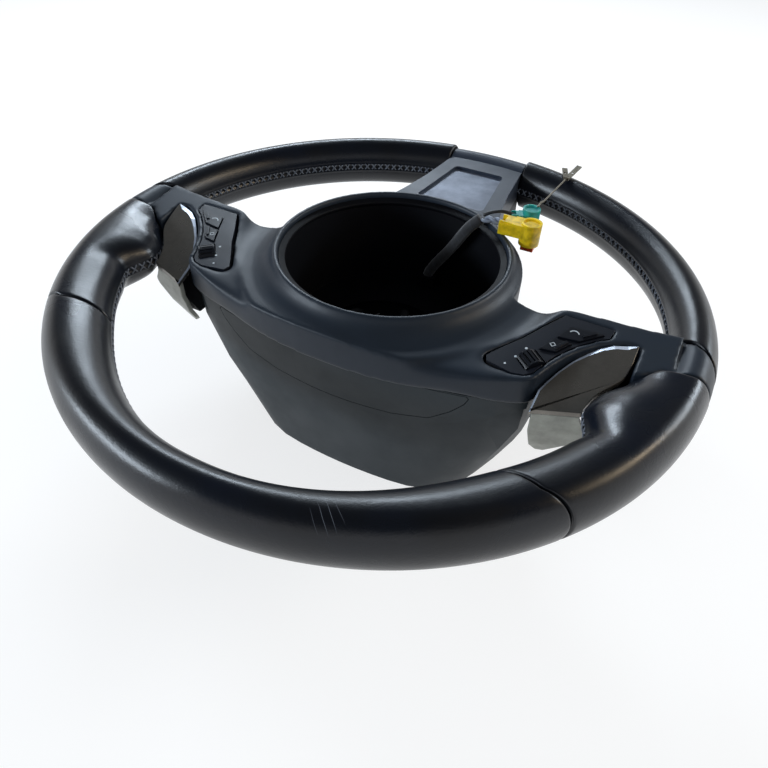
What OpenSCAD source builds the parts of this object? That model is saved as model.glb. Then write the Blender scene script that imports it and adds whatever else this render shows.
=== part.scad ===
// Three-spoke car steering wheel with its airbag taken out.
// Millimetres. +Y points to 12 o'clock, +X to the driver's right, +Z towards the driver.
// The origin is on the column axis, on the plane that the rear cover rests on.

/* [Rim] */
// Outer diameter of the rim
rim_d = 380; // [370:1:390]
// Width of the grip, across the rim
grip_w = 24.6; // [24:0.1:27]
// Height of the grip, front to back
grip_h = 34.6; // [33:0.1:36]
// Height of the rim's middle plane above the rest plane
rim_z = 110; // [104:1:118]
// Thickness of the leather
leather_t = 1.4; // [1:0.1:1.8]
// Width of the groove at a leather seam
seam_gap = 0.9; // [0.5:0.1:1.4]
// Radius of the cast ring inside the rim
core_r = 5.5; // [5:0.1:6]
// Distance of the upper leather seams from the wheel's middle
upper_seam_y = 117; // [108:1:126]
// Edge of the spoke band towards 12 o'clock
band_top_y = 15; // [13:0.5:17]
// Edge of the spoke band towards 6 o'clock, at the rim's middle line
band_low_y = -10; // [-12:0.5:-8]
// Slant of the lower leather seam at the spoke band, degrees
band_slant = 35; // [30:1:38]
// Half width of the bottom trim where it wraps over the rim
foot_half_w = 29; // [26:0.5:32]

/* [Thumb lobes] */
// How far a thumb lobe stands in from the rim
lobe_out = 21.5; // [19:0.5:22.5]
// How far it stands in where it leaves the spoke band
lobe_root = 14; // [12:0.5:15]
// Polar angle at which the lobe starts to grow from its root, degrees
lobe_from = 8; // [7:0.5:9]
// Polar angle at which the lobe is at its full size
lobe_full = 16; // [15:0.5:17]
// Polar angle at which the lobe begins to fall back
lobe_fall = 18; // [17.5:0.5:19]
// Polar angle at which the lobe has gone
lobe_to = 27; // [25:0.5:30]

/* [Hub] */
// Distance of the hub's collar from the column axis, towards 6 o'clock
hub_off = 11.7; // [10:0.1:13]
// Outer radius of the collar's lip
lip_r = 70.7; // [69:0.1:72]
// Height of the collar's lip above the rim's middle plane
lip_h = 21; // [19:0.5:23]
// Thickness of the moulded covers
wall = 2.5; // [2:0.1:3]
// Radius of the collar's flank where it meets the rear cover
flank_r = 78; // [77:0.5:80]
// Height of the front deck above the rim's middle plane, on the wheel's middle line
deck_h = 15.5; // [14.5:0.1:16.5]
// Slope of the front deck towards 12 o'clock, degrees
deck_tilt = 7.4; // [6.5:0.1:8.5]
// Depth of the joint between front and rear covers below the rim's middle plane
joint_d = 8; // [7:0.5:9]
// Thickness of the cup's liner
liner_t = 2.4; // [2:0.1:3]
// Depth of the cup floor below the rim's middle plane
floor_d = 42; // [40:1:44]
// Radius of the hub's shaft bore
shaft_r = 9; // [8:0.5:10]
// Length of the hub's shaft bore
shaft_len = 30; // [26:1:34]

/* [Rear cover] */
// Half width of the rear cover at its rest edge
tail_half_w = 82; // [78:1:84]
// Reach of the rear cover towards 12 o'clock at its rest edge
tail_y = 54; // [51:1:56]
// Radius of the column opening in the rear cover
column_r = 48; // [44:1:50]
// Height of the inset panel at its middle
panel_h = 27; // [24:1:29]

/* [Controls] */
// Gap round each key
key_gap = 0.35; // [0.25:0.05:0.5]
// Travel of a key
key_travel = 0.8; // [0.4:0.1:1]
// How far a key stands above its panel
key_proud = 0.9; // [0.5:0.1:1.2]
// Radius of a thumb roller
roller_r = 6.5; // [6:0.1:6.8]
// Width of a thumb roller
roller_w = 9.5; // [9:0.5:10.5]
// Number of ribs on a thumb roller
roller_ribs = 18; // [14:1:22]
// Radius of a roller's axle
axle_r = 1.5; // [1.2:0.1:2]
// Gap between the shift plates and what surrounds them
shift_gap = 1.4; // [1.2:0.1:1.8]
// Slope of the shift plates towards 12 o'clock, degrees
shift_tilt = 21.3; // [20:0.1:22.5]
// Thickness of a shift plate
shift_t = 3; // [2.5:0.1:3.2]
// Radius of the shift switches' pivot pins
pivot_r = 2; // [1.8:0.1:2.4]
// Running clearance of the pivots
run_gap = 0.06; // [0.04:0.01:0.1]

/* [Bottom spoke] */
// Half width of the bottom spoke at the hub
stem_hub_w = 41; // [38:1:44]
// Half width of the bottom spoke at the rim
stem_rim_w = 28.4; // [26:0.2:30]
// Height of the bottom spoke's face above the rim's middle plane
stem_h = 11.5; // [10:0.5:12.5]
// Depth of its pocket
pocket_d = 2.4; // [1.5:0.1:3]

/* [Hidden] */
$fn = 64;
ring_r = rim_d / 2 - grip_w / 2;
half_w = grip_w / 2;
half_h = grip_h / 2;
far = 400;
grip_steps = 28;
tunnel_steps = 14;
section_n = 24;
hub_floor = rim_z - floor_d;
tunnel_grow = 1 / cos(180 / section_n);
liner_r = lip_r - wall - 0.2;
cup_r = liner_r - liner_t;

// Smooth step from 0 to 1
function smooth(t) = let (u = min(1, max(0, t))) u * u * (3 - 2 * u);

// How far the grip's inner side stands in at a polar angle
function lobe(th) = (lobe_root + (lobe_out - lobe_root) * smooth((th - lobe_from) / (lobe_full - lobe_from)))
    * (1 - smooth((th - lobe_fall) / (lobe_to - lobe_fall)));

// Signed power, which blunts the nose of a lobe
function blunt(c, p) = sign(c) * pow(abs(c), p);

// Places children for the right side as modelled, or mirrors them to the left
module side(s) mirror([s < 0 ? 1 : 0, 0, 0]) children();

module both_sides() {
    side(1) children();
    side(-1) children();
}

// Frame of the sloping front deck
module on_deck() translate([0, 0, rim_z + deck_h]) rotate([-deck_tilt, 0, 0]) children();

// Frame of a shift plate, which meets the deck's plane near the spoke's lower edge
module on_shift() translate([0, 0, rim_z + deck_h + 2.4]) rotate([-shift_tilt, 0, 0]) children();

// Solid ring of oval section, smaller than the grip by d
module ring(d, h = 0) translate([0, 0, rim_z]) rotate_extrude($fn = 180) translate([ring_r, 0])
    scale([half_w - d, half_h - d - h]) circle(r = 1, $fn = 48);

// Shell of the ring between two oval sections
module ring_shell(w, h, t) translate([0, 0, rim_z]) rotate_extrude($fn = 180) translate([ring_r, 0])
    difference() {
        scale([w, h]) circle(r = 1, $fn = 48);
        scale([w - t, h - t]) circle(r = 1, $fn = 48);
    }

module leather_shell() ring_shell(half_w, half_h, leather_t);

// Everything above the upper seams
module above_upper_seam(g) translate([-far / 2, upper_seam_y + g, 0]) cube([far, far, far]);

// Everything below the slanted seam at the right spoke band
module below_band(g) translate([ring_r, band_low_y, 0]) rotate([0, 0, band_slant])
    translate([-far, -far - g, 0]) cube([2 * far, far, far]);

// The stretch of ring that a spoke band covers, on the right
module band_zone(g) difference() {
    translate([ring_r - 30, -60, 0]) cube([60, 60 + band_top_y - g, far]);
    below_band(-g);
}

// Ring cast into the rim
module rim_core() color([0.62, 0.63, 0.65]) translate([0, 0, rim_z]) rotate_extrude($fn = 180)
    translate([ring_r, 0]) circle(r = core_r, $fn = 32);

// Cast frame: three spokes, hub plate and splined boss
module armature() color([0.62, 0.63, 0.65]) {
    plate_t = 7;
    difference() {
        union() {
            translate([0, 0, hub_floor - plate_t]) cylinder(r = 46, h = plate_t);
            translate([0, 0, hub_floor - shaft_len]) cylinder(r = shaft_r + 6, h = shaft_len);
            both_sides() spoke_bar();
            stem_bar();
        }
        rim_core();
        translate([0, 0, hub_floor - shaft_len - 1]) cylinder(r = shaft_r, h = shaft_len + 2);
        for (a = [30, 150, 270]) rotate([0, 0, a]) translate([33, 0, hub_floor - plate_t - 1])
            cylinder(r = 4, h = plate_t + 2, $fn = 32);
        for (a = [90, 210, 330]) rotate([0, 0, a]) translate([31, 0, hub_floor - plate_t - 1])
            cylinder(r = 7, h = plate_t + 2, $fn = 32);
        both_sides() for (x = side_screw_x) translate([x, screw_y, rim_z + bar_floor(x) - 3])
            cylinder(r = screw_r + 0.05, h = screw_bite + 3.4, $fn = 24);
    }
}

// Side spoke of the casting, from the hub plate up to the ring
bar_y = -7;
bar_w = 8;
bar_start = 112;

module spoke_bar() translate([0, bar_y + bar_w, rim_z]) rotate([90, 0, 0]) linear_extrude(height = bar_w)
    polygon([[30, -floor_d - 7], [74, -floor_d - 7], [bar_start, -25], [ring_r, -5], [ring_r, 5],
        [bar_start, -15], [78, 3 - floor_d], [72, -floor_d], [30, -floor_d]]);

// Bottom spoke of the casting
stem_bar_w = 26;
cover_gap = 0.6;

module stem_bar() translate([-stem_bar_w / 2, 0, rim_z]) rotate([90, 0, 90])
    linear_extrude(height = stem_bar_w)
    polygon([[-30, -floor_d - 7], [-84, -floor_d - 7], [-112, -20], [-ring_r, -5], [-ring_r, 5],
        [-108, -10], [-92, 8 - floor_d], [-86, -floor_d], [-30, -floor_d]]);

// Room round a bar of the casting, for the covers and the foam
module bar_room(gap) {
    both_sides() translate([ring_r - 30, bar_y - gap, rim_z - 13]) cube([32, bar_w + 2 * gap, 21]);
    translate([-stem_bar_w / 2 - gap, -ring_r, rim_z - 13]) cube([stem_bar_w + 2 * gap, 30, 21]);
}

// Foam moulded over the ring, necked under the covers and slotted for the spokes
module rim_foam() color([0.13, 0.13, 0.14]) difference() {
    union() {
        difference() {
            ring(leather_t);
            both_sides() band_zone(-1.5);
            foot_zone(-1.5);
        }
        ring(leather_t + 2.4, 1.6);
    }
    rim_core();
    bar_room(0.5);
}

// The stretch of ring that the bottom trim covers
module foot_zone(g) translate([-foot_half_w + g, -far, 0]) cube([2 * (foot_half_w - g), far, far]);

module leather_top() color([0.09, 0.09, 0.1]) intersection() {
    leather_shell();
    above_upper_seam(seam_gap / 2);
}

module leather_lower(s) color([0.09, 0.09, 0.1]) side(s) intersection() {
    leather_shell();
    below_band(seam_gap / 2);
    translate([foot_half_w + seam_gap / 2, -far, 0]) cube([far, far, far]);
}

// Section point of a grip: its radius from the wheel's middle and its height
function grip_rho(phi, th) = cos(phi) >= 0 ? ring_r + half_w * cos(phi)
    : ring_r + (half_w + lobe(th)) * blunt(cos(phi), 1 - 0.25 * lobe(th) / lobe_out);

// Polar angle of a grip's section point, so that both ends lie on straight seams
function grip_th(phi, s, w, y0, y1) = let (r = ring_r + w * cos(phi))
    asin(y0 / r) * (1 - s) + asin(y1 / r) * s;

// How far the cover's tongue pushes the lobe's start back at a section point
tongue = 7.5;
function start_y(phi) = band_top_y + seam_gap / 2
    + (cos(phi) < 0 ? tongue * smooth((-cos(phi) - 0.4) / 0.5) : 0);

function grip_point(phi, s) = let (
    th = asin(start_y(phi) / grip_rho(phi, lobe_from)) * (1 - s)
        + asin((upper_seam_y - seam_gap / 2) / (ring_r + half_w * cos(phi))) * s,
    rho = grip_rho(phi, th))
    [rho * cos(th), rho * sin(th), rim_z + half_h * sin(phi)];

function tunnel_point(phi, s) = let (
    w = (half_w - leather_t) * tunnel_grow + 0.1,
    th = grip_th(phi, s, w, start_y(phi), upper_seam_y - seam_gap / 2),
    rho = ring_r + w * cos(phi))
    [rho * cos(th), rho * sin(th), rim_z + ((half_h - leather_t) * tunnel_grow + 0.1) * sin(phi)];

// Side grip with its thumb lobe: an outer skin and a tunnel for the foam, closed at both ends
module leather_grip(s) color([0.09, 0.09, 0.1]) side(s) {
    n = section_n;
    outer = [for (i = [0:grip_steps], j = [0:n - 1]) grip_point(j * 360 / n, i / grip_steps)];
    inner = [for (i = [0:tunnel_steps], j = [0:n - 1]) tunnel_point(j * 360 / n, i / tunnel_steps)];
    base = len(outer);
    last = grip_steps * n;
    last_in = base + tunnel_steps * n;
    polyhedron(points = concat(outer, inner), faces = concat(
        [for (i = [0:grip_steps - 1], j = [0:n - 1]) let (k = (j + 1) % n, a = i * n, b = a + n)
            each [[a + j, b + k, a + k], [a + j, b + j, b + k]]],
        [for (i = [0:tunnel_steps - 1], j = [0:n - 1]) let (k = (j + 1) % n, a = base + i * n, b = a + n)
            each [[a + j, a + k, b + k], [a + j, b + k, b + j]]],
        [for (j = [0:n - 1]) let (k = (j + 1) % n) each [[j, k, base + k], [j, base + k, base + j]]],
        [for (j = [0:n - 1]) let (k = (j + 1) % n)
            each [[last + j, last_in + k, last + k], [last + j, last_in + j, last_in + k]]]));
}

// Right half of the front cover's outline, from the 12 o'clock side round to the bottom edge
front_edge_r = 265;
front_edge_y = 71;
front_half = concat([for (x = [0:8:104]) [x,
    front_edge_y - front_edge_r + sqrt(front_edge_r * front_edge_r - x * x)]],
    [[107.3, 47.6], [109.4, 45], [111.8, 38.5], [115.9, 29.8], [120.5, 22.2], [126.1, 15.3],
        [131.3, 9.9], [137, 5.9], [144, 3.5],
    [150.8, 2.8], [150.8, 22.5], [155.5, 21], [160.2, 17.2], [164, 13.8], [168.4, band_top_y - 0.5],
    [168.4, -14.5], [150, -11.5], [120, -9.5], [90, -8], [60, -11], [0, -11]]);

// Outline of the right switch panel
panel_plan = [[109, -3.5], [101, 10], [94.5, 22], [87, 33], [81.5, 42], [83, 45.5], [97, 48],
    [103, 46.7], [106.6, 43.5], [108.9, 37.3], [113, 27.8], [117.6, 20.2], [123.3, 13.3], [128.5, 8],
    [134.5, 3.6], [135.5, -3.5]];

// Outlines of the two keys on the right
upper_key_plan = [[110.2, 14.6], [114.1, 4.8], [131.2, 3.4], [121.2, 13.2]];
lower_key_plan = [[104.6, 26.6], [108.9, 16.8], [118, 16.6], [112.4, 25.6]];

// Place and turn of the raised bar on each key
upper_bar = [124.6, 7, 136];
lower_bar = [113.7, 20.2, 122];

// Place and turn of the thumb roller on the right
roller_x = 102.8;
roller_y = 35.8;
roller_turn = 40;
roller_drop = 3.7;
panel_depth = 9;

module front_plan(inset) offset(delta = -inset) {
    polygon(front_half);
    mirror([1, 0]) polygon(front_half);
    translate([0, -hub_off]) circle(r = flank_r, $fn = 96);
}

// Curve of the collar's flank from the lip down into the valley round it: [radius beyond the lip, height]
flare = [[0.8, lip_h - 1], [2.3, 17.2], [4.8, 14.6], [8.3, 12.6], [12.8, 11.2], [17.8, 10.6], [21, 10.4]];
// The valley's outer side, rising to the deck's ridge
rise = [[20.6, 10.25], [24.8, 10.9], [28.3, 12.2], [31.3, 14.1], [33.8, 16.6]];
valley_cut_z = 10.2;

module deck_plan(inset) offset(delta = -inset) {
    polygon(front_half);
    mirror([1, 0]) polygon(front_half);
}

// What is taken off the deck to open the valley round the collar, lowered by drop for the hollow inside
module valley(drop) translate([0, -hub_off, rim_z - drop]) rotate_extrude($fn = 120) polygon(concat(
    [[lip_r - 6, 60], [lip_r - 6, valley_cut_z], [lip_r + 19, valley_cut_z]],
    [for (p = rise) [lip_r + p[0], p[1]]], [[lip_r + rise[4][0], 60]]));

// Deck of the front cover, down from its sloping face; drop lowers the face for the hollow inside
module deck_form(drop) difference() {
    intersection() {
        translate([0, 0, rim_z - joint_d - drop]) linear_extrude(height = 40) deck_plan(drop);
        on_deck() translate([-200, -60, -60 - drop]) cube([400, 180, 60]);
    }
    translate([0, -hub_off, 0]) cylinder(r = lip_r - 1 + drop / 2, h = 200, $fn = 96);
    valley(drop);
}

// Collar of the front cover with its flare, inside the cover's outline
module collar_form() intersection() {
    translate([0, 0, rim_z - joint_d]) linear_extrude(height = 40) front_plan(0);
    translate([0, -hub_off, rim_z]) rotate_extrude($fn = 120) polygon(concat(
        [[lip_r - wall, -joint_d - 1], [lip_r - wall, lip_h - 0.6], [lip_r - wall + 0.6, lip_h],
            [lip_r, lip_h]],
        [for (p = flare) [lip_r + p[0], p[1]]], [[lip_r + flare[6][0], -joint_d - 1]]));
}

// Hollow below the flare
module collar_hollow() intersection() {
    translate([0, 0, rim_z - joint_d - 2]) linear_extrude(height = 40) front_plan(wall);
    translate([0, -hub_off, rim_z]) rotate_extrude($fn = 120) polygon(concat(
        [[lip_r + 0.2, -joint_d - 3], [lip_r + 0.2, lip_h - 6.4]],
        [for (i = [1:6]) [lip_r + flare[i][0] - 0.7, flare[i][1] - wall]],
        [[lip_r + flare[6][0] - 0.7, -joint_d - 3]]));
}

// Front cover: collar, deck, both spokes and the bands over the rim
module front_cover() color([0.2, 0.22, 0.25]) difference() {
    union() {
        collar_form();
        deck_form(0);
        intersection() {
            ring_shell(half_w - 0.2, half_h - 0.2, wall);
            both_sides() band_zone(seam_gap / 2);
            translate([-far / 2, -far / 2, rim_z - joint_d]) cube([far, far, 60]);
        }
    }
    collar_hollow();
    deck_form(wall);
    both_sides() on_deck() translate([0, 0, -30]) linear_extrude(height = 50) offset(delta = 0.3)
        polygon(panel_plan);
    bar_room(cover_gap);
    ring(0.4 + wall);
}

// Liner of the airbag cup, with its floor on the hub plate
module cup_liner() color([0.05, 0.05, 0.06]) difference() {
    translate([0, -hub_off, rim_z]) rotate_extrude($fn = 120) polygon([[10, -floor_d],
        [liner_r, -floor_d], [liner_r, lip_h - 3], [cup_r - 1.5, lip_h - 4.5],
        [cup_r - 1.5, lip_h - 6], [cup_r, lip_h - 7.5], [cup_r, 2 - floor_d], [10, 2 - floor_d]]);
    translate([0, 0, hub_floor - 1]) cylinder(r = 41, h = 10, $fn = 96);
}

// Levels of the rear cover below the rim's middle plane:
// [depth, half width, reach to 12 o'clock, squareness of the corners]
tail_levels = [[joint_d, 109, 66.5, 7], [20, 109, 65.5, 6.5], [32, 109, 64, 6], [57, 106, 61.5, 3.4],
    [80, 97, 58, 3.1], [103, tail_half_w + 4, tail_y + 1.2, 3], [rim_z, tail_half_w, tail_y, 3]];
tail_back = 13;
tail_n = 44;
// Radius of the shallow curve that the rear cover shows to 12 o'clock
face_r = 330;

function tail_point(level, a, inset) = let (
    w = level[1] - inset, f = (sin(a) >= 0 ? level[2] : tail_back) - inset, n = level[3],
    corner = pow(pow(abs(cos(a)) / w, n) + pow(abs(sin(a)) / f, n), -1 / n),
    back = face_r - f,
    front = sin(a) < 0 ? corner : sqrt(face_r * face_r - back * back * cos(a) * cos(a)) - back * sin(a),
    k = min(corner, front))
    [k * cos(a), k * sin(a), rim_z - level[0]];

// Angles crowd towards the corners, where the outline turns
function tail_angle(i) = let (t = 360 * i / tail_n) t - 12 * sin(2 * t);

// Solid loft through the rear cover's levels, set in by inset and stopped short of the floor
module tail_loft(inset, floor_t = 0) {
    rows = len(tail_levels);
    points = [for (r = [0:rows - 1], i = [0:tail_n - 1])
        let (p = tail_point(tail_levels[r], tail_angle(i), inset))
        r == rows - 1 ? [p[0], p[1], floor_t] : p];
    polyhedron(points = points, faces = concat(
        [[for (i = [0:tail_n - 1]) tail_n - 1 - i]],
        [for (r = [0:rows - 2], i = [0:tail_n - 1]) let (j = (i + 1) % tail_n, a = r * tail_n, b = a + tail_n)
            each [[a + i, a + j, b + j], [a + i, b + j, b + i]]],
        [[for (i = [0:tail_n - 1]) (rows - 1) * tail_n + i]]));
}

// Round back of the rear cover, under the collar
module tail_round(inset, floor_t = 0) translate([0, -hub_off, floor_t])
    cylinder(r1 = flank_r - 14 - inset, r2 = flank_r - inset, h = rim_z - joint_d - floor_t, $fn = 96);

// Outline of the inset panel, seen from 12 o'clock
module panel_outline(grow) rotate([90, 0, 0]) mirror([0, 0, 1]) linear_extrude(height = 100)
    offset(delta = grow) for (m = [0, 1]) mirror([m, 0]) translate([0, rim_z - joint_d]) polygon([[-1, -1],
        [79, -1], [80, -2.5], [78, -7], [71, -15], [60, 3 - panel_h], [38, -panel_h - 1.5],
            [14, -panel_h - 3],
        [-1, -panel_h - 3.3]]);

// Rear half of a spoke's cover, on the right
module arm(inset) translate([0, 12.6 - inset, rim_z]) rotate([90, 0, 0])
    linear_extrude(height = 23 - 2 * inset)
    polygon([[92, -joint_d + inset], [92, -36 + inset], [112, -34 + inset], [140, -25 + inset],
        [167, -17.6 + inset], [167, -joint_d + inset]]);

// Rear cover: tub round the column, spoke backs and the rear of the bands
module rear_cover() color([0.17, 0.19, 0.21]) difference() {
    union() {
        tail_loft(0);
        tail_round(0);
        both_sides() arm(0);
        intersection() {
            ring_shell(half_w - 0.2, half_h - 0.2, wall);
            both_sides() band_zone(seam_gap / 2);
            translate([-far / 2, -far / 2, rim_z - joint_d - 60]) cube([far, far, 60]);
        }
    }
    tail_loft(wall, wall);
    tail_round(wall, wall);
    both_sides() {
        arm(wall);
        screw_hole_side();
        translate([pivot_from - 0.5, 5, rim_z - 16.5]) cube([pivot_to - pivot_from + 1, 12, 16.5 - joint_d]);
    }
    bar_room(cover_gap);
    translate([-stem_bar_w / 2 - cover_gap, -100, rim_z - floor_d - 8])
        cube([stem_bar_w + 2 * cover_gap, 60, floor_d + 8]);
    translate([-far / 2, -far / 2, rim_z - joint_d]) cube([far, far, far]);
    translate([0, 0, -1]) cylinder(r = column_r, h = wall + 2, $fn = 96);
    intersection() {
        panel_outline(0.4);
        difference() {
            tail_loft(-1);
            tail_loft(1.5);
        }
    }
    intersection() {
        below_step();
        difference() {
            tail_loft(-1);
            tail_loft(step_t);
        }
    }
    ring(0.4 + wall);
}

// Everything below the tub's step line, seen from 12 o'clock
step_t = 1.2;

module below_step() rotate([90, 0, 0]) mirror([0, 0, 1]) linear_extrude(height = 100)
    for (m = [0, 1]) mirror([m, 0]) translate([0, rim_z])
        polygon([[-1, -43.5], [16, -43.2], [38, -41.5], [60, -37],
        [76, -31], [90, -23], [101, -15], [140, -15], [140, -rim_z - 1], [-1, -rim_z - 1]]);

// Panel let into the rear cover under the collar
module rear_panel() color([0.19, 0.21, 0.23]) intersection() {
    panel_outline(0);
    difference() {
        tail_loft(0);
        tail_loft(1.5);
    }
}

// Screws that hold the spoke backs to the casting
side_screw_x = [126, 152];
screw_y = -3;
screw_r = 1.6;
screw_bite = 4.5;
function arm_floor(x) = x < 140 ? -25 - 9 * (140 - x) / 28 : -25 + 7.4 * (x - 140) / 27;
function bar_floor(x) = -25 + 20 * (x - bar_start) / (ring_r - bar_start);

module screw_hole_side() for (x = side_screw_x) translate([x, screw_y, rim_z + arm_floor(x)]) {
    translate([0, 0, -6]) cylinder(r = 3.3, h = 6.6, $fn = 32);
    translate([0, 0, -6]) cylinder(r = screw_r + 0.2, h = 16, $fn = 24);
}

module cover_screws() color([0.35, 0.36, 0.38]) both_sides() for (x = side_screw_x)
    translate([x, screw_y, rim_z + arm_floor(x)]) {
        translate([0, 0, -1.4]) cylinder(r = 3, h = 2, $fn = 32);
        translate([0, 0, 0.4]) cylinder(r = screw_r,
            h = bar_floor(x) - arm_floor(x) + screw_bite - 0.4, $fn = 24);
    }

// Right half of the bottom spoke's outline, from the hub to the rim
stem_half = [[0, -flank_r - hub_off + 3], [stem_hub_w, -flank_r - hub_off + 9], [36, -104], [32, -128],
    [30, -148], [stem_rim_w, -166], [stem_rim_w, -171], [0, -171]];

module stem_plan(inset) offset(delta = -inset) difference() {
    union() {
        polygon(stem_half);
        mirror([1, 0]) polygon(stem_half);
    }
    translate([0, -hub_off]) circle(r = flank_r + 0.3, $fn = 96);
}

// Front of the bottom spoke, with its pocket, and its wrap over the rim
module bottom_spoke_face() color([0.33, 0.33, 0.38]) difference() {
    union() {
        translate([0, 0, rim_z - joint_d]) linear_extrude(height = joint_d + stem_h) stem_plan(0);
        intersection() {
            ring_shell(half_w - 0.2, half_h - 2.8, 2.2);
            foot_zone(seam_gap / 2);
            translate([-far / 2, -far, rim_z - joint_d]) cube([far, far, 60]);
        }
    }
    translate([0, 0, rim_z - joint_d - 1]) linear_extrude(height = joint_d + stem_h - pocket_d - 1.2) {
        stem_plan(wall);
        translate([-25, -171]) square([50, 8]);
    }
    translate([0, 0, rim_z + stem_h - pocket_d]) linear_extrude(height = 10) hull() {
        for (m = [-1, 1]) translate([m * 15.5, -151]) circle(r = 3.5, $fn = 32);
        for (m = [-1, 1]) translate([m * 21, -100]) circle(r = 3.5, $fn = 32);
    }
    ring(2.4, 2.6);
    bar_room(cover_gap);
}

// Back of the bottom spoke
module bottom_spoke_back() color([0.12, 0.12, 0.13]) difference() {
    union() {
        translate([0, 0, rim_z - joint_d - 16]) linear_extrude(height = 16) difference() {
            stem_plan(0);
            translate([-50, -260]) square([100, 90]);
        }
        intersection() {
            ring_shell(half_w - 0.2, half_h - 2.8, 2.2);
            foot_zone(seam_gap / 2);
            translate([-far / 2, -far, rim_z - joint_d - 60]) cube([far, far, 60]);
        }
    }
    translate([0, 0, rim_z - joint_d - 16 + wall]) linear_extrude(height = 30) stem_plan(wall);
    ring(2.4, 2.6);
    bar_room(cover_gap);
    translate([-stem_bar_w / 2 - cover_gap, -114, rim_z - 60]) cube([stem_bar_w + 2 * cover_gap, 34, 60]);
}

// Frame of the right thumb roller, its axle along X
module on_roller() on_deck() translate([roller_x, roller_y, -roller_drop]) rotate([0, 0, roller_turn])
    children();

// Cylinder along X about the origin
module rod_x(r, len, n = 48) translate([-len / 2, 0, 0]) rotate([0, 90, 0]) cylinder(r = r, h = len, $fn = n);

// Switch panel with its key wells and roller slot
module switch_panel(s) color([0.14, 0.16, 0.19]) side(s) difference() {
    on_deck() translate([0, 0, -panel_depth]) linear_extrude(height = panel_depth - 0.2) polygon(panel_plan);
    on_deck() translate([0, 0, -5.2]) linear_extrude(height = 10) {
        offset(delta = key_gap) polygon(upper_key_plan);
        offset(delta = key_gap) polygon(lower_key_plan);
    }
    on_roller() {
        rod_x(roller_r + 0.5, roller_w + 1, 64);
        rod_x(axle_r, roller_w + 4);
    }
}

// Key cap; its raised bar marks the pressing edge
module key_cap(s, plan, bar) color([0.1, 0.11, 0.13]) side(s) on_deck() {
    translate([0, 0, -3.2]) linear_extrude(height = 3.2 + key_proud) polygon(plan);
    translate([bar[0], bar[1], key_proud - 0.5]) rotate([0, 0, bar[2]]) translate([-4, -0.8, 0])
        cube([8, 1.6, 1.3]);
}

// Ribbed thumb roller on its axle
module roller(s) color([0.12, 0.13, 0.15]) side(s) on_roller() difference() {
    rod_x(roller_r, roller_w, 72);
    rod_x(axle_r + run_gap, roller_w + 2);
    for (i = [0:roller_ribs - 1]) rotate([i * 360 / roller_ribs, 0, 0])
        translate([-roller_w / 2 + 1, -0.45, roller_r - 0.8]) cube([roller_w - 2, 0.9, 2]);
}

module roller_axles() color([0.5, 0.5, 0.52]) both_sides() on_roller() rod_x(axle_r, roller_w + 3.4);

// Plan of a thumb lobe's inner edge, from the spoke band outwards
lobe_plan = concat([for (i = [0:13]) let (th = 3 + i * 1.4) grip_rho(180, th) * [cos(th), sin(th)]],
    [[200, 70], [200, 16]]);

// Line of the joint between shift plate and skirt
skirt_x = 112.2;
skirt_y = 54.5;
skirt_turn = -16.5;
skirt_lean = 11;
skirt_low = 43;

module on_skirt() translate([skirt_x, skirt_y, rim_z]) rotate([0, 0, skirt_turn]) children();

module shift_plan() difference() {
    polygon([[111.4, 56], [111.4, 20], [130, 2], [149.4, 2], [149.4, 42], [134.2, 48], [skirt_x, skirt_y]]);
    front_plan(-shift_gap);
    offset(delta = shift_gap) polygon(lobe_plan);
}

// Thumb plate of a shift switch
module shift_plate(s) color([0.5, 0.47, 0.44]) side(s) intersection() {
    translate([0, 0, rim_z - 30]) linear_extrude(height = 60) shift_plan();
    on_shift() translate([0, 0, -shift_t]) linear_extrude(height = shift_t) square([400, 200]);
}

// Everything below the shift plate, less a gap
module under_shift(g) on_shift() translate([0, -60, -shift_t - g - 100]) cube([300, 160, 100]);

// Light skirt below the thumb plate, leaning back behind the spoke
module shift_skirt(s) color([0.68, 0.67, 0.64]) side(s) intersection() {
    on_skirt() rotate([90, 0, 90]) linear_extrude(height = 40) polygon([[0, 0], [-0.6, -16],
        [-4.5, -30], [-skirt_lean, -skirt_low], [-skirt_lean - 3, -skirt_low], [-7.5, -30],
            [-3.6, -16], [-3, 0]]);
    on_skirt() translate([0, 20, 0]) rotate([90, 0, 0]) linear_extrude(height = 60)
        polygon([[0.2, 0], [23, 0],
        [24.5, -7], [29, -14], [29.5, -20], [13, -skirt_low], [8.5, -skirt_low], [4.2, -37], [1.2, -22]]);
    under_shift(0.15);
}

// Pivot of a shift switch, along X
pivot_y = 24;
pivot_z = -12.5;
pivot_from = 117;
pivot_to = 145.5;
ear_t = 2.5;

// Black body of a shift switch: pivot hub, arm, inner wall and rear finger paddle
module shift_core(s) color([0.03, 0.03, 0.035]) side(s) difference() {
    intersection() {
        union() {
            core_slice(pivot_from + ear_t + 0.7, 133.2, [[19, -17], [19, 12], [44, 12], [50, -10], [34, -40],
                [19, -37], [19, -34.6], [28, -33], [29, -17]]);
            core_slice(113.8, 133.2, [[32, 10], [55, 10], [52, -14], [40, -36], [34, -36]]);
            core_slice(pivot_from + ear_t + 0.7, pivot_to - ear_t - 0.7,
                [[19, -17], [19, 1], [29, 1], [29, -17]]);
        }
        under_shift(0);
    }
    on_skirt() rotate([90, 0, 90]) translate([0, 0, -10]) linear_extrude(height = 60) polygon([[-3.1, 2],
        [-3.7, -16], [-7.6, -30], [-skirt_lean - 3.1, -skirt_low], [40, -skirt_low], [40, 2]]);
    translate([0, 0, rim_z - joint_d - 0.8]) linear_extrude(height = 50) {
        front_plan(-shift_gap);
        offset(delta = shift_gap) polygon(lobe_plan);
    }
    translate([(pivot_from + pivot_to) / 2, pivot_y, rim_z + pivot_z]) rod_x(pivot_r + run_gap, 60);
}

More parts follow.
